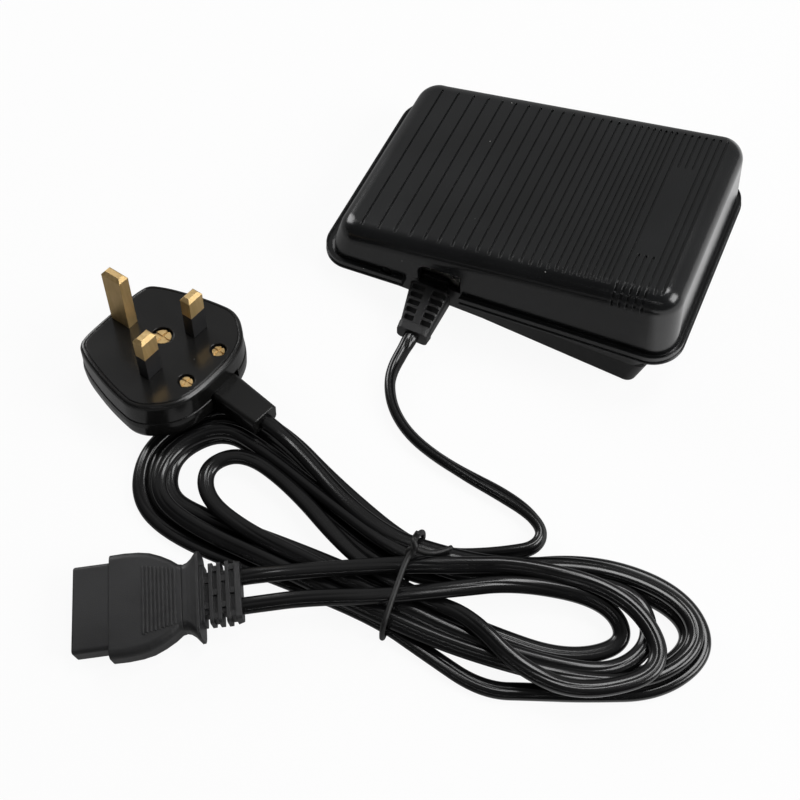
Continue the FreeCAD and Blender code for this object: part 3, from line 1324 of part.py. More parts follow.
def plug_screws():
    screws = []
    for x, y, radius in plug_screw_points():
        head = cylinder(radius, Vector(x, y, -1.6), Vector(x, y, -PLUG_SCREW_SINK))
        slot_cut = box(x - radius, x + radius, y - 0.4, y + 0.4, -PLUG_SCREW_SINK - 0.5, 1)
        cross = box(x - 0.4, x + 0.4, y - radius, y + radius, -PLUG_SCREW_SINK - 0.5, 1)
        screws.append(head.cut([slot_cut, cross]).removeSplitter())
    return Part.makeCompound(screws)


def plug_sleeve():
    """The flexible sleeve on the mains cord, gripped between the plug's shells."""
    wires = []
    for x, width, height in ((-PLUG_SLEEVE_GRIPPED, PLUG_SLEEVE_WIDTH, PLUG_SLEEVE_HEIGHT),
                             (PLUG_SLEEVE_LENGTH, PLUG_SLEEVE_END_WIDTH, PLUG_SLEEVE_END_HEIGHT)):
        wires.append(rounded_rectangle(-width / 2, width / 2, -height / 2, height / 2, 1.6, along(x)))
    return moved(loft(*wires), SLEEVE_PLACE)


PLUG_INNER_FLOOR = -PLUG_THICK + PLUG_WALL
FUSE_Z = -PIN_ROOT - FUSE_RADIUS - FUSE_GAP


def plug_fuse():
    return cylinder(FUSE_RADIUS, Vector(FUSE_X, FUSE_Y, FUSE_Z), Vector(FUSE_X + FUSE_LENGTH, FUSE_Y, FUSE_Z))


def fuse_clips():
    clips = []
    for x in (FUSE_X + 1.0, FUSE_X + FUSE_LENGTH - 4.0):
        clips.append(box(x, x + 3.0, FUSE_Y - 3.0, FUSE_Y + 3.0, PLUG_INNER_FLOOR, FUSE_Z - FUSE_RADIUS))
    return Part.makeCompound(clips)


def cord_grip():
    return box(4.0, 10.0, -7.0, 7.0, PLUG_INNER_FLOOR, PLUG_INNER_FLOOR + 3.0)


def plug_parts():
    return {
        "plug_base": plug_base(),
        "plug_cover": plug_cover(),
        "earth_pin": earth_pin(),
        "line_pin": live_pin(-1),
        "neutral_pin": live_pin(1),
        "pin_sleeves": pin_sleeves(),
        "plug_screws": plug_screws(),
        "plug_sleeve": plug_sleeve(),
        "plug_fuse": plug_fuse(),
        "fuse_clips": fuse_clips(),
        "plug_cord_grip": cord_grip(),
    }


def connector_parts():
    return {
        "connector_body": connector_body(),
        "connector_insert": connector_insert(),
        "connector_contacts": connector_contacts(),
        "connector_relief": connector_relief(),
    }


def pedal_parts():
    return {
        "top_cover": top_cover(),
        "base_tub": base_tub(),
        "hinge_pin": hinge_pin(),
        "rubber_feet": rubber_feet(),
        "strain_relief": strain_relief(),
        "cord_clamp": cord_clamp(),
        "clamp_screws": clamp_screws(),
        "plunger_guide": plunger_guide(),
        "plunger": plunger(),
        "wiper_contact": wiper_contact(),
        "return_springs": return_springs(),
        "plunger_spring": plunger_spring(),
        "circuit_board": circuit_board(),
        "board_screws": board_screws(),
        "resistor_track": resistor_track(),
        "heat_sink": heat_sink(),
        "triac": triac(),
        "capacitor": capacitor(),
        "choke": choke(),
        "inner_leads": inner_leads(),
    }


def cord_parts():
    return {
        "pedal_cord": pedal_cord(),
        "pedal_cord_hank": hank("pedal cord hank", pedal_hank_nodes()),
        "mains_cord": mains_cord(),
        "mains_cord_hank": hank("mains cord hank", mains_hank_nodes()),
        "cord_tie": cord_tie(),
    }


def main():
    os.makedirs("parts", exist_ok=True)
    parts = pedal_parts()
    parts.update({name: moved(shape, PLUG_PLACE) for name, shape in plug_parts().items()})
    parts.update({name: moved(shape, CONNECTOR_PLACE) for name, shape in connector_parts().items()})
    parts.update(cord_parts())
    least_gap("hank to hank", hank_path(pedal_hank_nodes()), hank_path(mains_hank_nodes()), 0)
    for name, shape in parts.items():
        low = shape.BoundBox
        print("%-20s solids %d valid %s volume %.0f z %.2f to %.2f" % (
            name, len(shape.Solids), shape.isValid(), shape.Volume, low.ZMin, low.ZMax))
        shape.exportStep("parts/%s.step" % name)


main()
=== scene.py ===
import json
import math

import bpy
from mathutils import Matrix, Vector


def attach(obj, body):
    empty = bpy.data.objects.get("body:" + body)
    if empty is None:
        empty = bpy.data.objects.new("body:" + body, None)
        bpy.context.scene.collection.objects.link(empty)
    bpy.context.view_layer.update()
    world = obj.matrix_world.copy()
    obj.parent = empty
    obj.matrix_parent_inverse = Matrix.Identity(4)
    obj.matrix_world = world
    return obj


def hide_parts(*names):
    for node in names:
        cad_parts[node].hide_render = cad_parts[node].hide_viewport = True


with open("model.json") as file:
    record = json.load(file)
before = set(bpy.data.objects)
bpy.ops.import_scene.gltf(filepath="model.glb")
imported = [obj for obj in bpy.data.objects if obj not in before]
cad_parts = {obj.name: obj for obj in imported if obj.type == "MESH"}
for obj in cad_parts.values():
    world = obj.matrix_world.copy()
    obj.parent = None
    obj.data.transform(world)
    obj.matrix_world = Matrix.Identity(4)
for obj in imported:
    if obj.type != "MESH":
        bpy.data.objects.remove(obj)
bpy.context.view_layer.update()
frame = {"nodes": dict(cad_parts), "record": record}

NODES = frame["nodes"]
MM = 0.001


# Camera: it stands and looks as the photograph's did. Angles in degrees.

CAMERA_PLACE = Vector((0.064194, -0.250015, 0.335080))
CAMERA_AZIMUTH = 25.129
CAMERA_ELEVATION = 60.816
CAMERA_ROLL = 0.10
FOCAL_PIXELS = 1107.2
FRAME_PIXELS = 800
SENSOR_WIDTH = 36.0
CLIP_NEAR = 0.01
CLIP_FAR = 20


def add_camera():
    azimuth = math.radians(CAMERA_AZIMUTH)
    elevation = math.radians(CAMERA_ELEVATION)
    roll = math.radians(CAMERA_ROLL)
    back = Vector((math.sin(azimuth) * math.cos(elevation),
                   -math.cos(azimuth) * math.cos(elevation), math.sin(elevation)))
    level = Vector((math.cos(azimuth), math.sin(azimuth), 0))
    up = back.cross(level)
    right = level * math.cos(roll) + up * math.sin(roll)
    up = up * math.cos(roll) - level * math.sin(roll)
    data = bpy.data.cameras.new("photo_camera")
    data.sensor_width = SENSOR_WIDTH
    data.lens = FOCAL_PIXELS / FRAME_PIXELS * SENSOR_WIDTH
    data.clip_start = CLIP_NEAR
    data.clip_end = CLIP_FAR
    camera = bpy.data.objects.new("photo_camera", data)
    bpy.context.scene.collection.objects.link(camera)
    turn = Matrix((right, up, back)).transposed().to_4x4()
    camera.matrix_world = Matrix.Translation(CAMERA_PLACE) @ turn
    bpy.context.scene.camera = camera


# Node trees

EDGE_SAMPLES = 4
EDGE_RANGE = (0.86, 0.995)


class Graph:
    """The node tree of a material or the world, with short ways to add and join nodes."""

    def __init__(self, owner, output="OutputMaterial", place="Object"):
        owner.use_nodes = True
        self.owner = owner
        self.tree = owner.node_tree
        self.tree.nodes.clear()
        self.output = self.node(output)
        self.place = self.node("TexCoord").outputs[place]

    def node(self, kind, **settings):
        made = self.tree.nodes.new("ShaderNode" + kind)
        for key, value in settings.items():
            setattr(made, key, value)
        return made

    def join(self, source, target):
        self.tree.links.new(source, target)

    def noise(self, scale, detail=2.0, roughness=0.5, place=None):
        made = self.node("TexNoise")
        self.join(place or self.place, made.inputs["Vector"])
        made.inputs["Scale"].default_value = scale
        made.inputs["Detail"].default_value = detail
        made.inputs["Roughness"].default_value = roughness
        return made.outputs["Fac"]

    def stretched(self, scale, place=None):
        made = self.node("Mapping")
        self.join(place or self.place, made.inputs["Vector"])
        made.inputs["Scale"].default_value = scale
        return made.outputs["Vector"]

    def along(self, axis):
        """How far a point lies along X, Y or Z."""
        made = self.node("SeparateXYZ")
        self.join(self.place, made.inputs[0])
        return made.outputs[axis]

    def between(self, value, low, high, from_low=0.3, from_high=0.7):
        """Low to high as the value goes from from_low to from_high, and no further."""
        made = self.node("MapRange")
        made.clamp = True
        self.join(value, made.inputs["Value"])
        made.inputs["From Min"].default_value = from_low
        made.inputs["From Max"].default_value = from_high
        made.inputs["To Min"].default_value = low
        made.inputs["To Max"].default_value = high
        return made.outputs["Result"]

    def math(self, operation, first, second):
        made = self.node("Math", operation=operation)
        for index, value in enumerate((first, second)):
            if isinstance(value, (int, float)):
                made.inputs[index].default_value = value
            else:
                self.join(value, made.inputs[index])
        return made.outputs[0]

    def mix(self, factor, first, second):
        made = self.node("Mix", data_type="RGBA")
        self.join(factor, made.inputs[0])
        for index, value in ((6, first), (7, second)):
            if isinstance(value, tuple):
                made.inputs[index].default_value = (*value, 1)
            else:
                self.join(value, made.inputs[index])
        return made.outputs[2]

    def blend(self, factor, first, second):
        """One shader fading into another."""
        made = self.node("MixShader")
        self.join(factor, made.inputs[0])
        self.join(first, made.inputs[1])
        self.join(second, made.inputs[2])
        return made.outputs[0]

    def white(self, kind, strength=1.0):
        """A white light source: Emission on a surface, Background in the world."""
        made = self.node(kind)
        made.inputs["Color"].default_value = (1, 1, 1, 1)
        if isinstance(strength, float):
            made.inputs["Strength"].default_value = strength
        else:
            self.join(strength, made.inputs["Strength"])
        return made.outputs[0]

    def bump(self, height, depth, normal=None):
        made = self.node("Bump")
        self.join(height, made.inputs["Height"])
        made.inputs["Distance"].default_value = depth
        if normal is not None:
            self.join(normal, made.inputs["Normal"])
        return made.outputs["Normal"]

    def specks(self, scale, size, share):
        """1 in small round specks at a few of many scattered places, 0 elsewhere."""
        cells = self.node("TexVoronoi")
        self.join(self.place, cells.inputs["Vector"])
        cells.inputs["Scale"].default_value = scale
        near = self.math("LESS_THAN", cells.outputs["Distance"], size)
        parts = self.node("SeparateColor")
        self.join(cells.outputs["Color"], parts.inputs[0])
        return self.math("MULTIPLY", near, self.math("LESS_THAN", parts.outputs[0], share))

    def soft_edges(self, radius):
        made = self.node("Bevel")
        made.samples = EDGE_SAMPLES
        made.inputs["Radius"].default_value = radius
        return made.outputs["Normal"]

    def edge_share(self, bevelled):
        """0 on flat faces, 1 where a rounded edge turns away from its face."""
        face = self.node("NewGeometry").outputs["Normal"]
        dot = self.node("VectorMath", operation="DOT_PRODUCT")
        self.join(bevelled, dot.inputs[0])
        self.join(face, dot.inputs[1])
        return self.between(dot.outputs["Value"], 1.0, 0.0, *EDGE_RANGE)

    def shader(self, colour, roughness, normal, metallic=0.0, specular=0.5):
        made = self.node("BsdfPrincipled")
        self.join(colour, made.inputs["Base Color"])
        self.join(roughness, made.inputs["Roughness"])
        self.join(normal, made.inputs["Normal"])
        made.inputs["Metallic"].default_value = metallic
        made.inputs["Specular IOR Level"].default_value = specular
        self.join(made.outputs[0], self.output.inputs["Surface"])
        return self.owner


# Materials. Noise scales are counts per metre, depths and radii are metres.

CLOUD_SCALE = 38
RIPPLE_SCALE = 160
RIPPLE_TO_GRAIN = 1.5
# Patches on rounded edges, painted lighter as an edge highlight and partly wear: noise scale, its
# range, and the roughness they add
SHEEN_AND_WEAR_SCALE = 420
SHEEN_AND_WEAR_RANGE = (0.35, 0.7)
WEAR_DULLING = 0.2
DUST_SCALE = 420
DUST_SIZE = 0.08
DUST_SHARE = 0.012
DUST_COLOUR = (0.45, 0.45, 0.43)


def moulded(name, dark, light, rough, grain, depth, specular=0.5, edge=0.0004,
            sheen_and_wear_colour=(0.05, 0.05, 0.05), sheen_and_wear=0.25, dusty=False):
    """Moulded plastic: clouded colour, fine grain, and rounded edges that turn, in random patches,
    toward a set edge colour and grow a little rougher: a painted edge highlight where that colour
    is lighter than the plastic, and partly wear.

    Dusty adds sparse pale specks.
    """
    g = Graph(bpy.data.materials.new(name))
    cloud = g.noise(CLOUD_SCALE, 4)
    fine = g.noise(1 / grain, 3, 0.6)
    ripple = g.noise(RIPPLE_SCALE, 2)
    rounded = g.soft_edges(edge)
    sheen_and_wear_patches = g.between(g.noise(SHEEN_AND_WEAR_SCALE, 3), 0.0, sheen_and_wear, *SHEEN_AND_WEAR_RANGE)
    sheen_and_wear_edges = g.math("MULTIPLY", g.edge_share(rounded), sheen_and_wear_patches)
    colour = g.mix(g.between(cloud, 0, 1), dark, light)
    # Painted edge highlight, partly wear: the edge patches take the edge colour, lighter than the
    # dark plastics
    colour = g.mix(sheen_and_wear_edges, colour, sheen_and_wear_colour)
    if dusty:
        colour = g.mix(g.specks(DUST_SCALE, DUST_SIZE, DUST_SHARE), colour, DUST_COLOUR)
    dulled = g.math("MULTIPLY", sheen_and_wear_edges, WEAR_DULLING)
    roughness = g.math("ADD", g.between(cloud, *rough), dulled)
    normal = g.bump(fine, depth, g.bump(ripple, depth * RIPPLE_TO_GRAIN, rounded))
    return g.shader(colour, roughness, normal, specular=specular)


BRUSH_SCALE = 900
TARNISH_SCALE = 90
TARNISH_RANGE = (0.45, 0.75)
TARNISH_DULLING = 0.12
TARNISH_DULL_RANGE = (0.4, 0.8)
METAL_EDGE = 0.0002


def metal(name, dark, light, rough, brush, depth, stain, stained=0.3, metallic=1.0):
    """Machined or pressed metal with fine brushing and darker tarnish."""
    g = Graph(bpy.data.materials.new(name))
    lines = g.noise(BRUSH_SCALE, 2, 0.5, g.stretched(brush))
    cloud = g.noise(TARNISH_SCALE, 3)
    colour = g.mix(g.between(lines, 0, 1), dark, light)
    colour = g.mix(g.between(cloud, 0.0, stained, *TARNISH_RANGE), colour, stain)
    dulled = g.between(cloud, 0.0, TARNISH_DULLING, *TARNISH_DULL_RANGE)
    roughness = g.math("ADD", g.between(lines, *rough), dulled)
    normal = g.bump(lines, depth, g.soft_edges(METAL_EDGE))
    return g.shader(colour, roughness, normal, metallic=metallic)


JACKET_DARK = (0.0035, 0.0035, 0.0037)
JACKET_LIGHT = (0.0060, 0.0060, 0.0063)
JACKET_ROUGH = (0.15, 0.22)
JACKET_CLOUD_SCALE = 60
JACKET_FINE_SCALE = 2500
JACKET_FINE_DEPTH = 0.000001
JACKET_LINE_SCALE = (6, 260, 1)
JACKET_LINE_ROUGH = (-0.02, 0.03)
JACKET_LINE_DEPTH = 0.000003


def cord_jacket(name):
    """Extruded cord jacket: glossy, with faint lines along it and small dull patches."""
    g = Graph(bpy.data.materials.new(name))
    run = g.node("UVMap", uv_map="along").outputs[0]
    lines = g.noise(1.0, 2, 0.5, g.stretched(JACKET_LINE_SCALE, run))
    cloud = g.noise(JACKET_CLOUD_SCALE, 3)
    fine = g.noise(JACKET_FINE_SCALE, 2)
    colour = g.mix(g.between(cloud, 0, 1), JACKET_DARK, JACKET_LIGHT)
    roughness = g.math("ADD", g.between(cloud, *JACKET_ROUGH), g.between(lines, *JACKET_LINE_ROUGH))
    normal = g.bump(fine, JACKET_FINE_DEPTH, g.bump(lines, JACKET_LINE_DEPTH))
    return g.shader(colour, roughness, normal)


MATERIALS = {
    "cover_plastic": moulded(
        "cover_gloss", dark=(0.0075, 0.0078, 0.0082), light=(0.0105, 0.0110, 0.0116),
        rough=(0.17, 0.23), grain=0.0006, depth=0.000006, sheen_and_wear_colour=(0.03, 0.03, 0.03), sheen_and_wear=0.15,
        dusty=True),
    "base_plastic": moulded(
        "base_satin", dark=(0.0130, 0.0130, 0.0134), light=(0.0180, 0.0180, 0.0184),
        rough=(0.28, 0.38), grain=0.0005, depth=0.00001, specular=0.45, edge=0.0005),
    "plug_plastic": moulded(
        "plug_gloss", dark=(0.0060, 0.0060, 0.0058), light=(0.0090, 0.0088, 0.0085),
        rough=(0.16, 0.23), grain=0.0007, depth=0.000006, edge=0.0006, sheen_and_wear_colour=(0.03, 0.03, 0.03),
        sheen_and_wear=0.15, dusty=True),
    "connector_plastic": moulded(
        "connector_grain", dark=(0.012, 0.012, 0.0125), light=(0.020, 0.020, 0.021),
        rough=(0.40, 0.52), grain=0.00028, depth=0.00006, sheen_and_wear_colour=(0.10, 0.10, 0.10), sheen_and_wear=0.5),
    "sleeve_plastic": moulded(
        "sleeve_matte", dark=(0.010, 0.010, 0.011), light=(0.018, 0.018, 0.019),
        rough=(0.45, 0.58), grain=0.0004, depth=0.00003, specular=0.45),
    "rubber": moulded(
        "foot_rubber", dark=(0.012, 0.012, 0.012), light=(0.022, 0.022, 0.021),
        rough=(0.75, 0.9), grain=0.0006, depth=0.00006, specular=0.3),
    "board_green": moulded(
        "board_lacquer", dark=(0.012, 0.07, 0.03), light=(0.02, 0.11, 0.05),
        rough=(0.3, 0.42), grain=0.0008, depth=0.00001),
    "film_yellow": moulded(
        "film_block", dark=(0.42, 0.22, 0.02), light=(0.55, 0.30, 0.03),
        rough=(0.25, 0.36), grain=0.0008, depth=0.00001),
    "guide_white": moulded(
        "guide_nylon", dark=(0.50, 0.49, 0.44), light=(0.62, 0.61, 0.56),
        rough=(0.4, 0.52), grain=0.0007, depth=0.00002, edge=0.0003, sheen_and_wear_colour=(0.7, 0.7, 0.66),
        sheen_and_wear=0.3),
    "brass": metal(
        "brass_pin", dark=(0.66, 0.46, 0.20), light=(0.76, 0.55, 0.27), rough=(0.42, 0.52),
        brush=(1, 1, 0.06), depth=0.0000015, stain=(0.46, 0.30, 0.12), metallic=0.8),
    "steel": metal(
        "plated_steel", dark=(0.42, 0.42, 0.43), light=(0.62, 0.62, 0.63), rough=(0.2, 0.34),
        brush=(1, 0.08, 1), depth=0.000004, stain=(0.22, 0.21, 0.2)),
    "aluminium": metal(
        "aluminium_fin", dark=(0.60, 0.60, 0.62), light=(0.76, 0.76, 0.77), rough=(0.28, 0.42),
        brush=(1, 1, 0.08), depth=0.000006, stain=(0.4, 0.4, 0.4), stained=0.2),
    "cord_plastic": cord_jacket("cord_jacket"),
    "tie_wire": moulded(
        "tie_coating", dark=(0.004, 0.004, 0.004), light=(0.008, 0.008, 0.008),
        rough=(0.42, 0.55), grain=0.0004, depth=0.00003),
}


def dress(obj, slot):
    obj.data.materials.clear()
    obj.data.materials.append(MATERIALS[slot])


def dress_nodes():
    for part in frame["record"]["subparts"]:
        dress(NODES[part["node"]], part["material_slot"])


# Cords, in metres

CORD_WIDTH = 0.0054
CORD_HEIGHT = 0.0033
CORD_SIDES = 36
# How much of the dip between the two cores the jacket fills
WAIST_FILL = 0.22

# Heights of the three layers of the hank and of the free cord, and how far the tie lifts a layer
LOW, MIDDLE, HIGH = 0.0020, 0.0061, 0.0101
FREE = 0.0028
TIE_LIFT = 0.0016
# In the tie the cords lie side by side in numbered places
TIE_X = 0.012
TIE_FIRST_Y = -0.1302
TIE_PITCH = 0.0050

# Outermost half loops on the left and right of the tie: X, Y and the way the cord goes there
LEFT_LOOP = (
    (-0.020, -0.1200, -1, 0.36), (-0.045, -0.1095, -1, 0.16), (-0.0690, -0.1085, -0.85, -0.5),
    (-0.0848, -0.131, -0.12, -1), (-0.0780, -0.1520, 0.6, -0.8), (-0.058, -0.1590, 1, -0.05),
    (-0.020, -0.1560, 1, 0.05),
)
RIGHT_LOOP = (
    (0.038, -0.1248, 1, 0.50), (0.066, -0.1084, 1, 0.22), (0.0945, -0.1066, 0.9, -0.3),
    (0.1088, -0.1200, 0.0, -1), (0.0995, -0.1388, -0.65, -0.75), (0.078, -0.1495, -1, -0.28),
    (0.040, -0.1548, -1, 0.0),
)

# Insets of the loops inside them, at each of a half loop's points
LOOP_SPACING = 0.0053
OUTER = (0,) * 7
INNER = (LOOP_SPACING,) * 7
INNERMOST = (LOOP_SPACING * 2,) * 7
MAINS_RIGHT = [inset * MM for inset in (0.4, 2.6, 3.4, 3.8, 3.4, 2, 0.6)]
MAINS_LEFT = [inset * MM for inset in (6.6, 10.2, 10.6, 10, 7, 5, 2)]


def in_tie(number, height):
    return (TIE_X, TIE_FIRST_Y - number * TIE_PITCH, height + TIE_LIFT)


def half_loop(outline, insets, height, backwards=False):
    """A half loop's points, each set inwards from the outermost loop by its inset."""
    inward = 1 if outline is LEFT_LOOP else -1
    points = []
    for (x, y, dx, dy), inset in zip(outline, insets):
        size = math.hypot(dx, dy)
        points.append((x - dy / size * inward * inset, y + dx / size * inward * inset, height))
    return points[::-1] if backwards else points


# Where the two cords enter the connector, which way, and how far each is from the middle
CONNECTOR = Vector((-0.0286, -0.1666, 0.0080))
CONNECTOR_INWARD = Vector((-0.8441, -0.5337, -0.0523))
CONNECTOR_ACROSS = Vector((0.5344, -0.8453, 0.0)) * 0.0047
CONNECTOR_DEPTHS = (-0.005, 0, 0.004)


def into_connector(side):
    """A cord's last points: short of the connector's end, at it and inside it."""
    entry = CONNECTOR + CONNECTOR_ACROSS * side
    return [tuple(entry + CONNECTOR_INWARD * depth) for depth in CONNECTOR_DEPTHS]


PEDAL_CORD = [
    # Out of the cord guard and over the floor to the hank
    (-0.0215, -0.0540, 0.0050), (-0.0215, -0.0577, 0.0047), (-0.0219, -0.0645, 0.0040),
    (-0.0222, -0.0720, FREE), (-0.0205, -0.0785, FREE), (-0.0152, -0.0863, FREE),
    (-0.0066, -0.0926, FREE), (0.0046, -0.0964, FREE), (0.0176, -0.0985, FREE),
    (0.0310, -0.0999, FREE), (0.0416, -0.1022, FREE), (0.0482, -0.1066, FREE),
    (0.0474, -0.1130, FREE), (0.0406, -0.1178, FREE), (0.0318, -0.1229, LOW),
    (0.0250, -0.1262, LOW),
    # First turn, with a slack bulge in front
    in_tie(0, LOW), *half_loop(LEFT_LOOP, OUTER, LOW), in_tie(5, LOW),
    (0.030, -0.1582, LOW), (0.050, -0.1616, LOW), (0.065, -0.1550, LOW),
    *half_loop(RIGHT_LOOP, OUTER, LOW, True)[1:], in_tie(1, LOW),
    # Second and third turns inside it
    *half_loop(LEFT_LOOP, INNER, LOW), in_tie(4, LOW),
    *half_loop(RIGHT_LOOP, INNER, LOW, True), in_tie(2, LOW),
    *half_loop(LEFT_LOOP, INNERMOST, LOW), in_tie(3, LOW),
    # Small right loop that climbs to the top layer, and on to the connector
    (0.044, -0.1446, LOW), (0.070, -0.1420, LOW), (0.0855, -0.1298, LOW + 0.0014),
    (0.0745, -0.1205, MIDDLE), (0.0475, -0.1280, HIGH), (0.029, -0.1400, HIGH + 0.0010),
    (TIE_X, -0.1506, HIGH + TIE_LIFT), (-0.009, -0.1604, HIGH + 0.0003),
    *into_connector(1),
]

MAINS_CORD = [
    # Out of the plug's sleeve and down to the hank
    (-0.0536, -0.1114, 0.0111), (-0.0498, -0.1124, 0.0113), (-0.0430, -0.1142, 0.0112),
    (-0.033, -0.1172, 0.0092), (-0.015, -0.1252, MIDDLE + 0.0012),
    (0.000, -0.1296, MIDDLE + 0.0012),
    # One turn in the middle layer
    in_tie(0, MIDDLE), *half_loop(RIGHT_LOOP, MAINS_RIGHT, MIDDLE), in_tie(5, MIDDLE),
    *half_loop(LEFT_LOOP, MAINS_LEFT, MIDDLE, True), in_tie(1, MIDDLE),
    # A smaller right loop, then a small left one
    (0.040, -0.1306, MIDDLE), (0.064, -0.1176, MIDDLE), (0.083, -0.1150, MIDDLE),
    (0.0916, -0.127, MIDDLE), (0.0845, -0.1410, MIDDLE), (0.066, -0.1470, MIDDLE),
    (0.040, -0.1502, MIDDLE), in_tie(4, MIDDLE),
    (-0.014, -0.1486, MIDDLE + 0.0003), (-0.038, -0.1480, MIDDLE), (-0.0555, -0.1435, MIDDLE),
    (-0.0612, -0.1330, MIDDLE), (-0.0520, -0.1235, MIDDLE), (-0.032, -0.1278, MIDDLE),
    (-0.006, -0.1402, MIDDLE + 0.0010), (TIE_X, -0.1442, MIDDLE + TIE_LIFT),
    # Right loop on top, and on to the connector
    (0.025, -0.1444, MIDDLE + 0.0012), (0.039, -0.1448, HIGH), (0.058, -0.1530, HIGH),
    (0.078, -0.1522, HIGH), (0.0990, -0.134, HIGH), (0.080, -0.1170, HIGH),
    (0.047, -0.1222, HIGH), (0.028, -0.1318, HIGH + 0.0010),
    (TIE_X, -0.1392, HIGH + TIE_LIFT), (-0.014, -0.1534, HIGH + 0.0006),
    *into_connector(-1),
]

# The coated wire round the hank: free end, half a knot, round the hank, knot, stub
TIE_RADIUS = 0.00085
TIE_SIDES = 14
TIE_WIRE = [
    (0.0243, -0.1268, 0.0105), (0.0222, -0.1300, 0.0122), (0.0196, -0.1322, 0.0132),
    (0.0172, -0.1338, 0.0156), (0.0152, -0.1345, 0.0178), (0.0132, -0.1352, 0.0165),
    (0.0140, -0.1370, 0.0152), (0.0156, -0.1360, 0.0170), (0.0140, -0.1338, 0.0180),
    (0.0136, -0.1290, 0.0150), (0.0138, -0.1248, 0.0090), (0.0139, -0.1254, 0.0012),
    (0.0150, -0.1430, 0.0009), (0.0160, -0.1585, 0.0012), (0.0166, -0.1614, 0.0060),
    (0.0164, -0.1602, 0.0138), (0.0158, -0.1540, 0.0156), (0.0148, -0.1460, 0.0158),
    (0.0141, -0.1385, 0.0160), (0.0146, -0.1352, 0.0170), (0.0156, -0.1345, 0.0184),
    (0.0143, -0.1334, 0.0192), (0.0136, -0.1318, 0.0186), (0.0142, -0.1302, 0.0200),
]

# How far the flat cord is rolled about its own line, in degrees, at some of its control points
PEDAL_ROLL = {0: 0, 1: 20, 2: 60, 4: 78, 7: 62, 9: 25, 11: 70, 13: 62, 15: 20, 17: 5}
MAINS_ROLL = {0: 0, 3: 25, 5: 8}
# In the hank the roll wanders: degrees, rate per control point, share of the seed
WANDER = ((16, 0.83, 1), (9, 1.71, 2.3))
# Control points over which the wander grows from nothing
WANDER_START = 2

STEPS_PER_POINT = 22


def spline_line(name, points):
    """The smooth line of the NURBS spline that has these control points."""
    curve = bpy.data.curves.new(name, "CURVE")
    curve.dimensions = "3D"
    curve.resolution_u = STEPS_PER_POINT
    spline = curve.splines.new("NURBS")
    spline.points.add(len(points) - 1)
    for made, point in zip(spline.points, points):
        made.co = (*point, 1)
    spline.order_u = 3
    spline.use_endpoint_u = True
    carrier = bpy.data.objects.new(name, curve)
    mesh = bpy.data.meshes.new_from_object(carrier)
    line = [vertex.co.copy() for vertex in mesh.vertices]
    bpy.data.objects.remove(carrier)
    bpy.data.curves.remove(curve)
    bpy.data.meshes.remove(mesh)
    return line


def twin(count, half_width, radius):
    """Two round cores side by side in one jacket: flat, with a shallow dip in each face."""
    centre = half_width - radius
    waist = math.acos(-centre / radius)
    points = []
    for side in (1, -1):
        for index in range(count // 2):
            angle = waist * (2 * (index + 0.5) / (count // 2) - 1)
            across = centre + radius * math.cos(angle)
            filled = 1 + WAIST_FILL * max(0.0, 1 - (across / centre) ** 2)
            points.append((side * across, side * radius * math.sin(angle) * filled))
    return points


def circle(count, radius):
    angles = [2 * math.pi * index / count for index in range(count)]
    return [(radius * math.cos(angle), radius * math.sin(angle)) for angle in angles]


def ease(share):
    return share * share * (3 - 2 * share)


def keyed(keys, place, wander):
    """The keys' value at a place, eased between them; past the last, a wander about it."""
    stations = sorted(keys)
    last = stations[-1]
    if place >= last:
        return keys[last] + min(place - last, WANDER_START) / WANDER_START * wander
    low, high = next(pair for pair in zip(stations, stations[1:]) if place <= pair[1])
    return keys[low] + (keys[high] - keys[low]) * ease((place - low) / (high - low))


def rolls_along(line, points, keys, seed):
    """The cord's roll at each point of the line, in degrees."""
    steps = (len(line) - 1) / (len(points) - 2)
    rolls = []
    for index in range(len(line)):
        place = index / steps + 0.5
        wander = sum(size * math.sin(place * rate + seed * share) for size, rate, share in WANDER)
        rolls.append(keyed(keys, place, wander))
    return rolls


def lengths_along(line):
    lengths = [0.0]
    for before, point in zip(line, line[1:]):
        lengths.append(lengths[-1] + (point - before).length)
    return lengths


def rings_along(line, section, rolls, reference):
    """The section set across the line at each of its points, its up near the reference."""
    rings = []
    for index, point in enumerate(line):
        before = line[max(index - 1, 0)]
        after = line[min(index + 1, len(line) - 1)]
        way = (after - before).normalized()
        side = way.cross(reference).normalized()
        up = side.cross(way).normalized()
        roll = math.radians(rolls[index])
        u = side * math.cos(roll) + up * math.sin(roll)
        v = up * math.cos(roll) - side * math.sin(roll)
        rings.append([point + u * a + v * b for a, b in section])
    return rings


def tube(name, line, section, rolls, material, reference=Vector((0, 0, 1))):
    """A closed tube with the given section along a line; its map along gives length and turn."""
    lengths = lengths_along(line)
    rings = rings_along(line, section, rolls, reference)
    count = len(section)
    faces = []
    marks = []
    for row in range(len(rings) - 1):
        start, end = lengths[row], lengths[row + 1]
        for index in range(count):
            following = (index + 1) % count
            faces.append((row * count + index, row * count + following,
                          (row + 1) * count + following, (row + 1) * count + index))
            a, b = index / count, (index + 1) / count
            marks.append(((start, a), (start, b), (end, b), (end, a)))
    for row, order in ((0, range(count - 1, -1, -1)), (len(rings) - 1, range(count))):
        faces.append(tuple(row * count + index for index in order))
        marks.append(tuple((lengths[row], index / count) for index in order))
    mesh = bpy.data.meshes.new(name)
    mesh.from_pydata([vertex for ring in rings for vertex in ring], [], faces)
    layer = mesh.uv_layers.new(name="along")
    for index, mark in enumerate(mark for face in marks for mark in face):
        layer.data[index].uv = mark
    for polygon in mesh.polygons:
        polygon.use_smooth = True
    mesh.validate()
    obj = bpy.data.objects.new(name, mesh)
    bpy.context.scene.collection.objects.link(obj)
    dress(obj, material)
    return obj


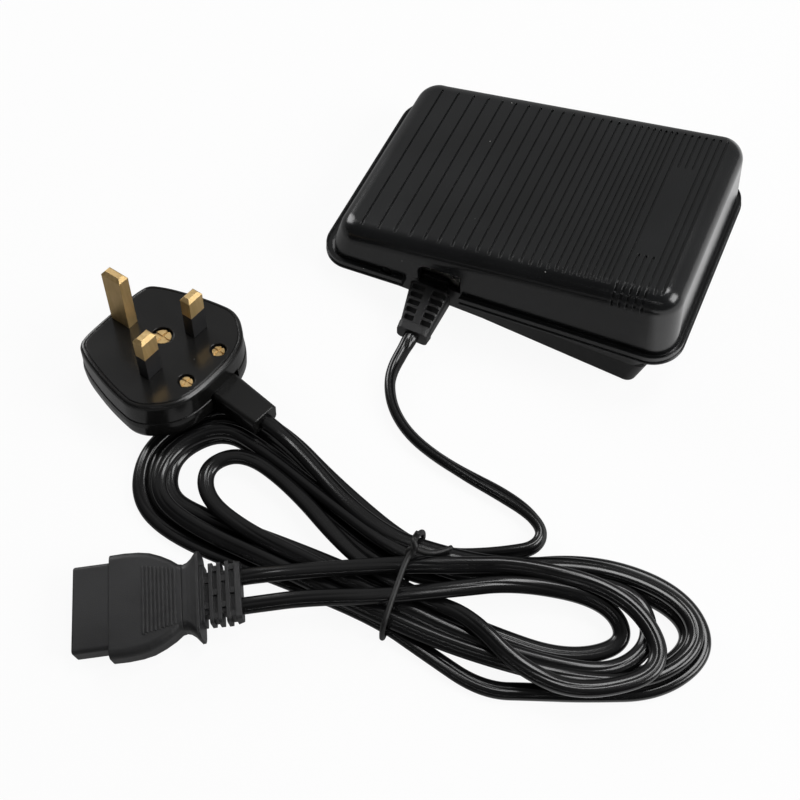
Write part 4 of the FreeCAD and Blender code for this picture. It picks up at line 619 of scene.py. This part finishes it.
def add_cord(name, points, keys, seed):
    line = spline_line(name + "_line", points)
    section = twin(CORD_SIDES, CORD_WIDTH / 2, CORD_HEIGHT / 2)
    return tube(name, line, section, rolls_along(line, points, keys, seed), "cord_plastic"), line


add_camera()
dress_nodes()

pedal_cord, pedal_line = add_cord("pedal_lead", PEDAL_CORD, PEDAL_ROLL, 0.7)
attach(pedal_cord, "base")
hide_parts("pedal_cord", "pedal_cord_hank")

mains_cord, mains_line = add_cord("mains_lead", MAINS_CORD, MAINS_ROLL, 2.1)
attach(mains_cord, "base")
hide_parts("mains_cord", "mains_cord_hank")

tie_line = spline_line("tie_line", TIE_WIRE)
cord_tie = tube("cord_tie_wire", tie_line, circle(TIE_SIDES, TIE_RADIUS), [0] * len(tie_line),
                "tie_wire", Vector((1, 0, 0)))
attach(cord_tie, "base")
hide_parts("cord_tie")
print("cord lengths", *(round(lengths_along(line)[-1], 4) for line in (pedal_line, mains_line)))


# Floor, backdrop and light

FLOOR_HALF = 1.6
FLOOR_DROP = 0.0001
FLOOR_DARK = (0.86, 0.86, 0.86)
FLOOR_LIGHT = (0.88, 0.88, 0.88)
FLOOR_CLOUD_SCALE = 3
# Share of plain white in what the camera sees of the floor; the rest is the lit floor
FLOOR_WHITE = 0.93
# The floor's strength in reflections, the painted reflection added to it beside the toe (a glow
# seen only in reflections, lighting up the toe wall), and from where to where
FLOOR_GLOW = 0.28
TOE_REFLECTION_GLOW = 0.72
TOE_REFLECTION_EDGE = (0.050, 0.075)

# The room's brightness grows from the front to the back: facing, strength at each end
ROOM_FACING = (-0.3, 0.5)
ROOM_STRENGTH = (0.05, 0.32)

# Area lamps: name, place, the point they face, width, height, watts
LAMPS = (
    ("softbox_left", (-0.90, 0.25, 0.45), (0, -0.05, 0), 0.45, 0.45, 4.0),
    ("softbox_right", (0.80, 0.05, 0.60), (0, -0.05, 0), 0.5, 0.5, 6.0),
    ("softbox_top", (0.15, 0.30, 0.95), (0, -0.10, 0), 0.3, 0.3, 2.5),
    ("strip_front", (0.10, -0.95, 0.90), (0, -0.05, 0), 0.9, 0.03, 0.5),
)


def floor_material():
    """A pale floor that looks white in the picture and keeps the object's shadow.

    In reflections it glows bright beside the toe, a painted reflection in place of a lit card, and
    dim towards the front.
    """
    g = Graph(bpy.data.materials.new("pale_floor"))
    cloud = g.between(g.noise(FLOOR_CLOUD_SCALE, 2), 0, 1)
    diffuse = g.node("BsdfDiffuse")
    g.join(g.mix(cloud, FLOOR_DARK, FLOOR_LIGHT), diffuse.inputs["Color"])
    path = g.node("LightPath").outputs
    seen = g.math("MAXIMUM", path["Is Camera Ray"], path["Is Transmission Ray"])
    shown = g.blend(g.math("MULTIPLY", seen, FLOOR_WHITE), diffuse.outputs[0], g.white("Emission"))
    # Painted reflection: beside the toe the floor glows brighter, only in reflections
    toe_reflection = g.between(g.along("X"), 0.0, TOE_REFLECTION_GLOW, *TOE_REFLECTION_EDGE)
    mirrored = g.white("Emission", g.math("ADD", toe_reflection, FLOOR_GLOW))
    g.join(g.blend(path["Is Glossy Ray"], shown, mirrored), g.output.inputs["Surface"])
    return g.owner


def add_floor():
    half = FLOOR_HALF
    corners = [(-half, -half, 0), (half, -half, 0), (half, half, 0), (-half, half, 0)]
    mesh = bpy.data.meshes.new("studio_floor")
    mesh.from_pydata(corners, [], [(0, 1, 2, 3)])
    floor = bpy.data.objects.new("studio_floor", mesh)
    bpy.context.scene.collection.objects.link(floor)
    floor.location.z = -FLOOR_DROP
    mesh.materials.append(floor_material())


def add_world():
    """A dim room that looks white to the camera."""
    world = bpy.data.worlds.new("studio")
    bpy.context.scene.world = world
    g = Graph(world, "OutputWorld", "Generated")
    room = g.white("Background", g.between(g.along("Y"), *ROOM_STRENGTH, *ROOM_FACING))
    seen = g.node("LightPath").outputs["Is Camera Ray"]
    g.join(g.blend(seen, room, g.white("Background")), g.output.inputs["Surface"])


def add_lamp(name, place, target, width, height, watts):
    data = bpy.data.lights.new(name, "AREA")
    data.shape = "RECTANGLE"
    data.size = width
    data.size_y = height
    data.energy = watts
    lamp = bpy.data.objects.new(name, data)
    bpy.context.scene.collection.objects.link(lamp)
    lamp.location = place
    facing = Vector(target) - Vector(place)
    lamp.rotation_euler = facing.to_track_quat("-Z", "Y").to_euler()


add_floor()
add_world()
for settings in LAMPS:
    add_lamp(*settings)
bpy.context.scene.view_settings.view_transform = "Standard"
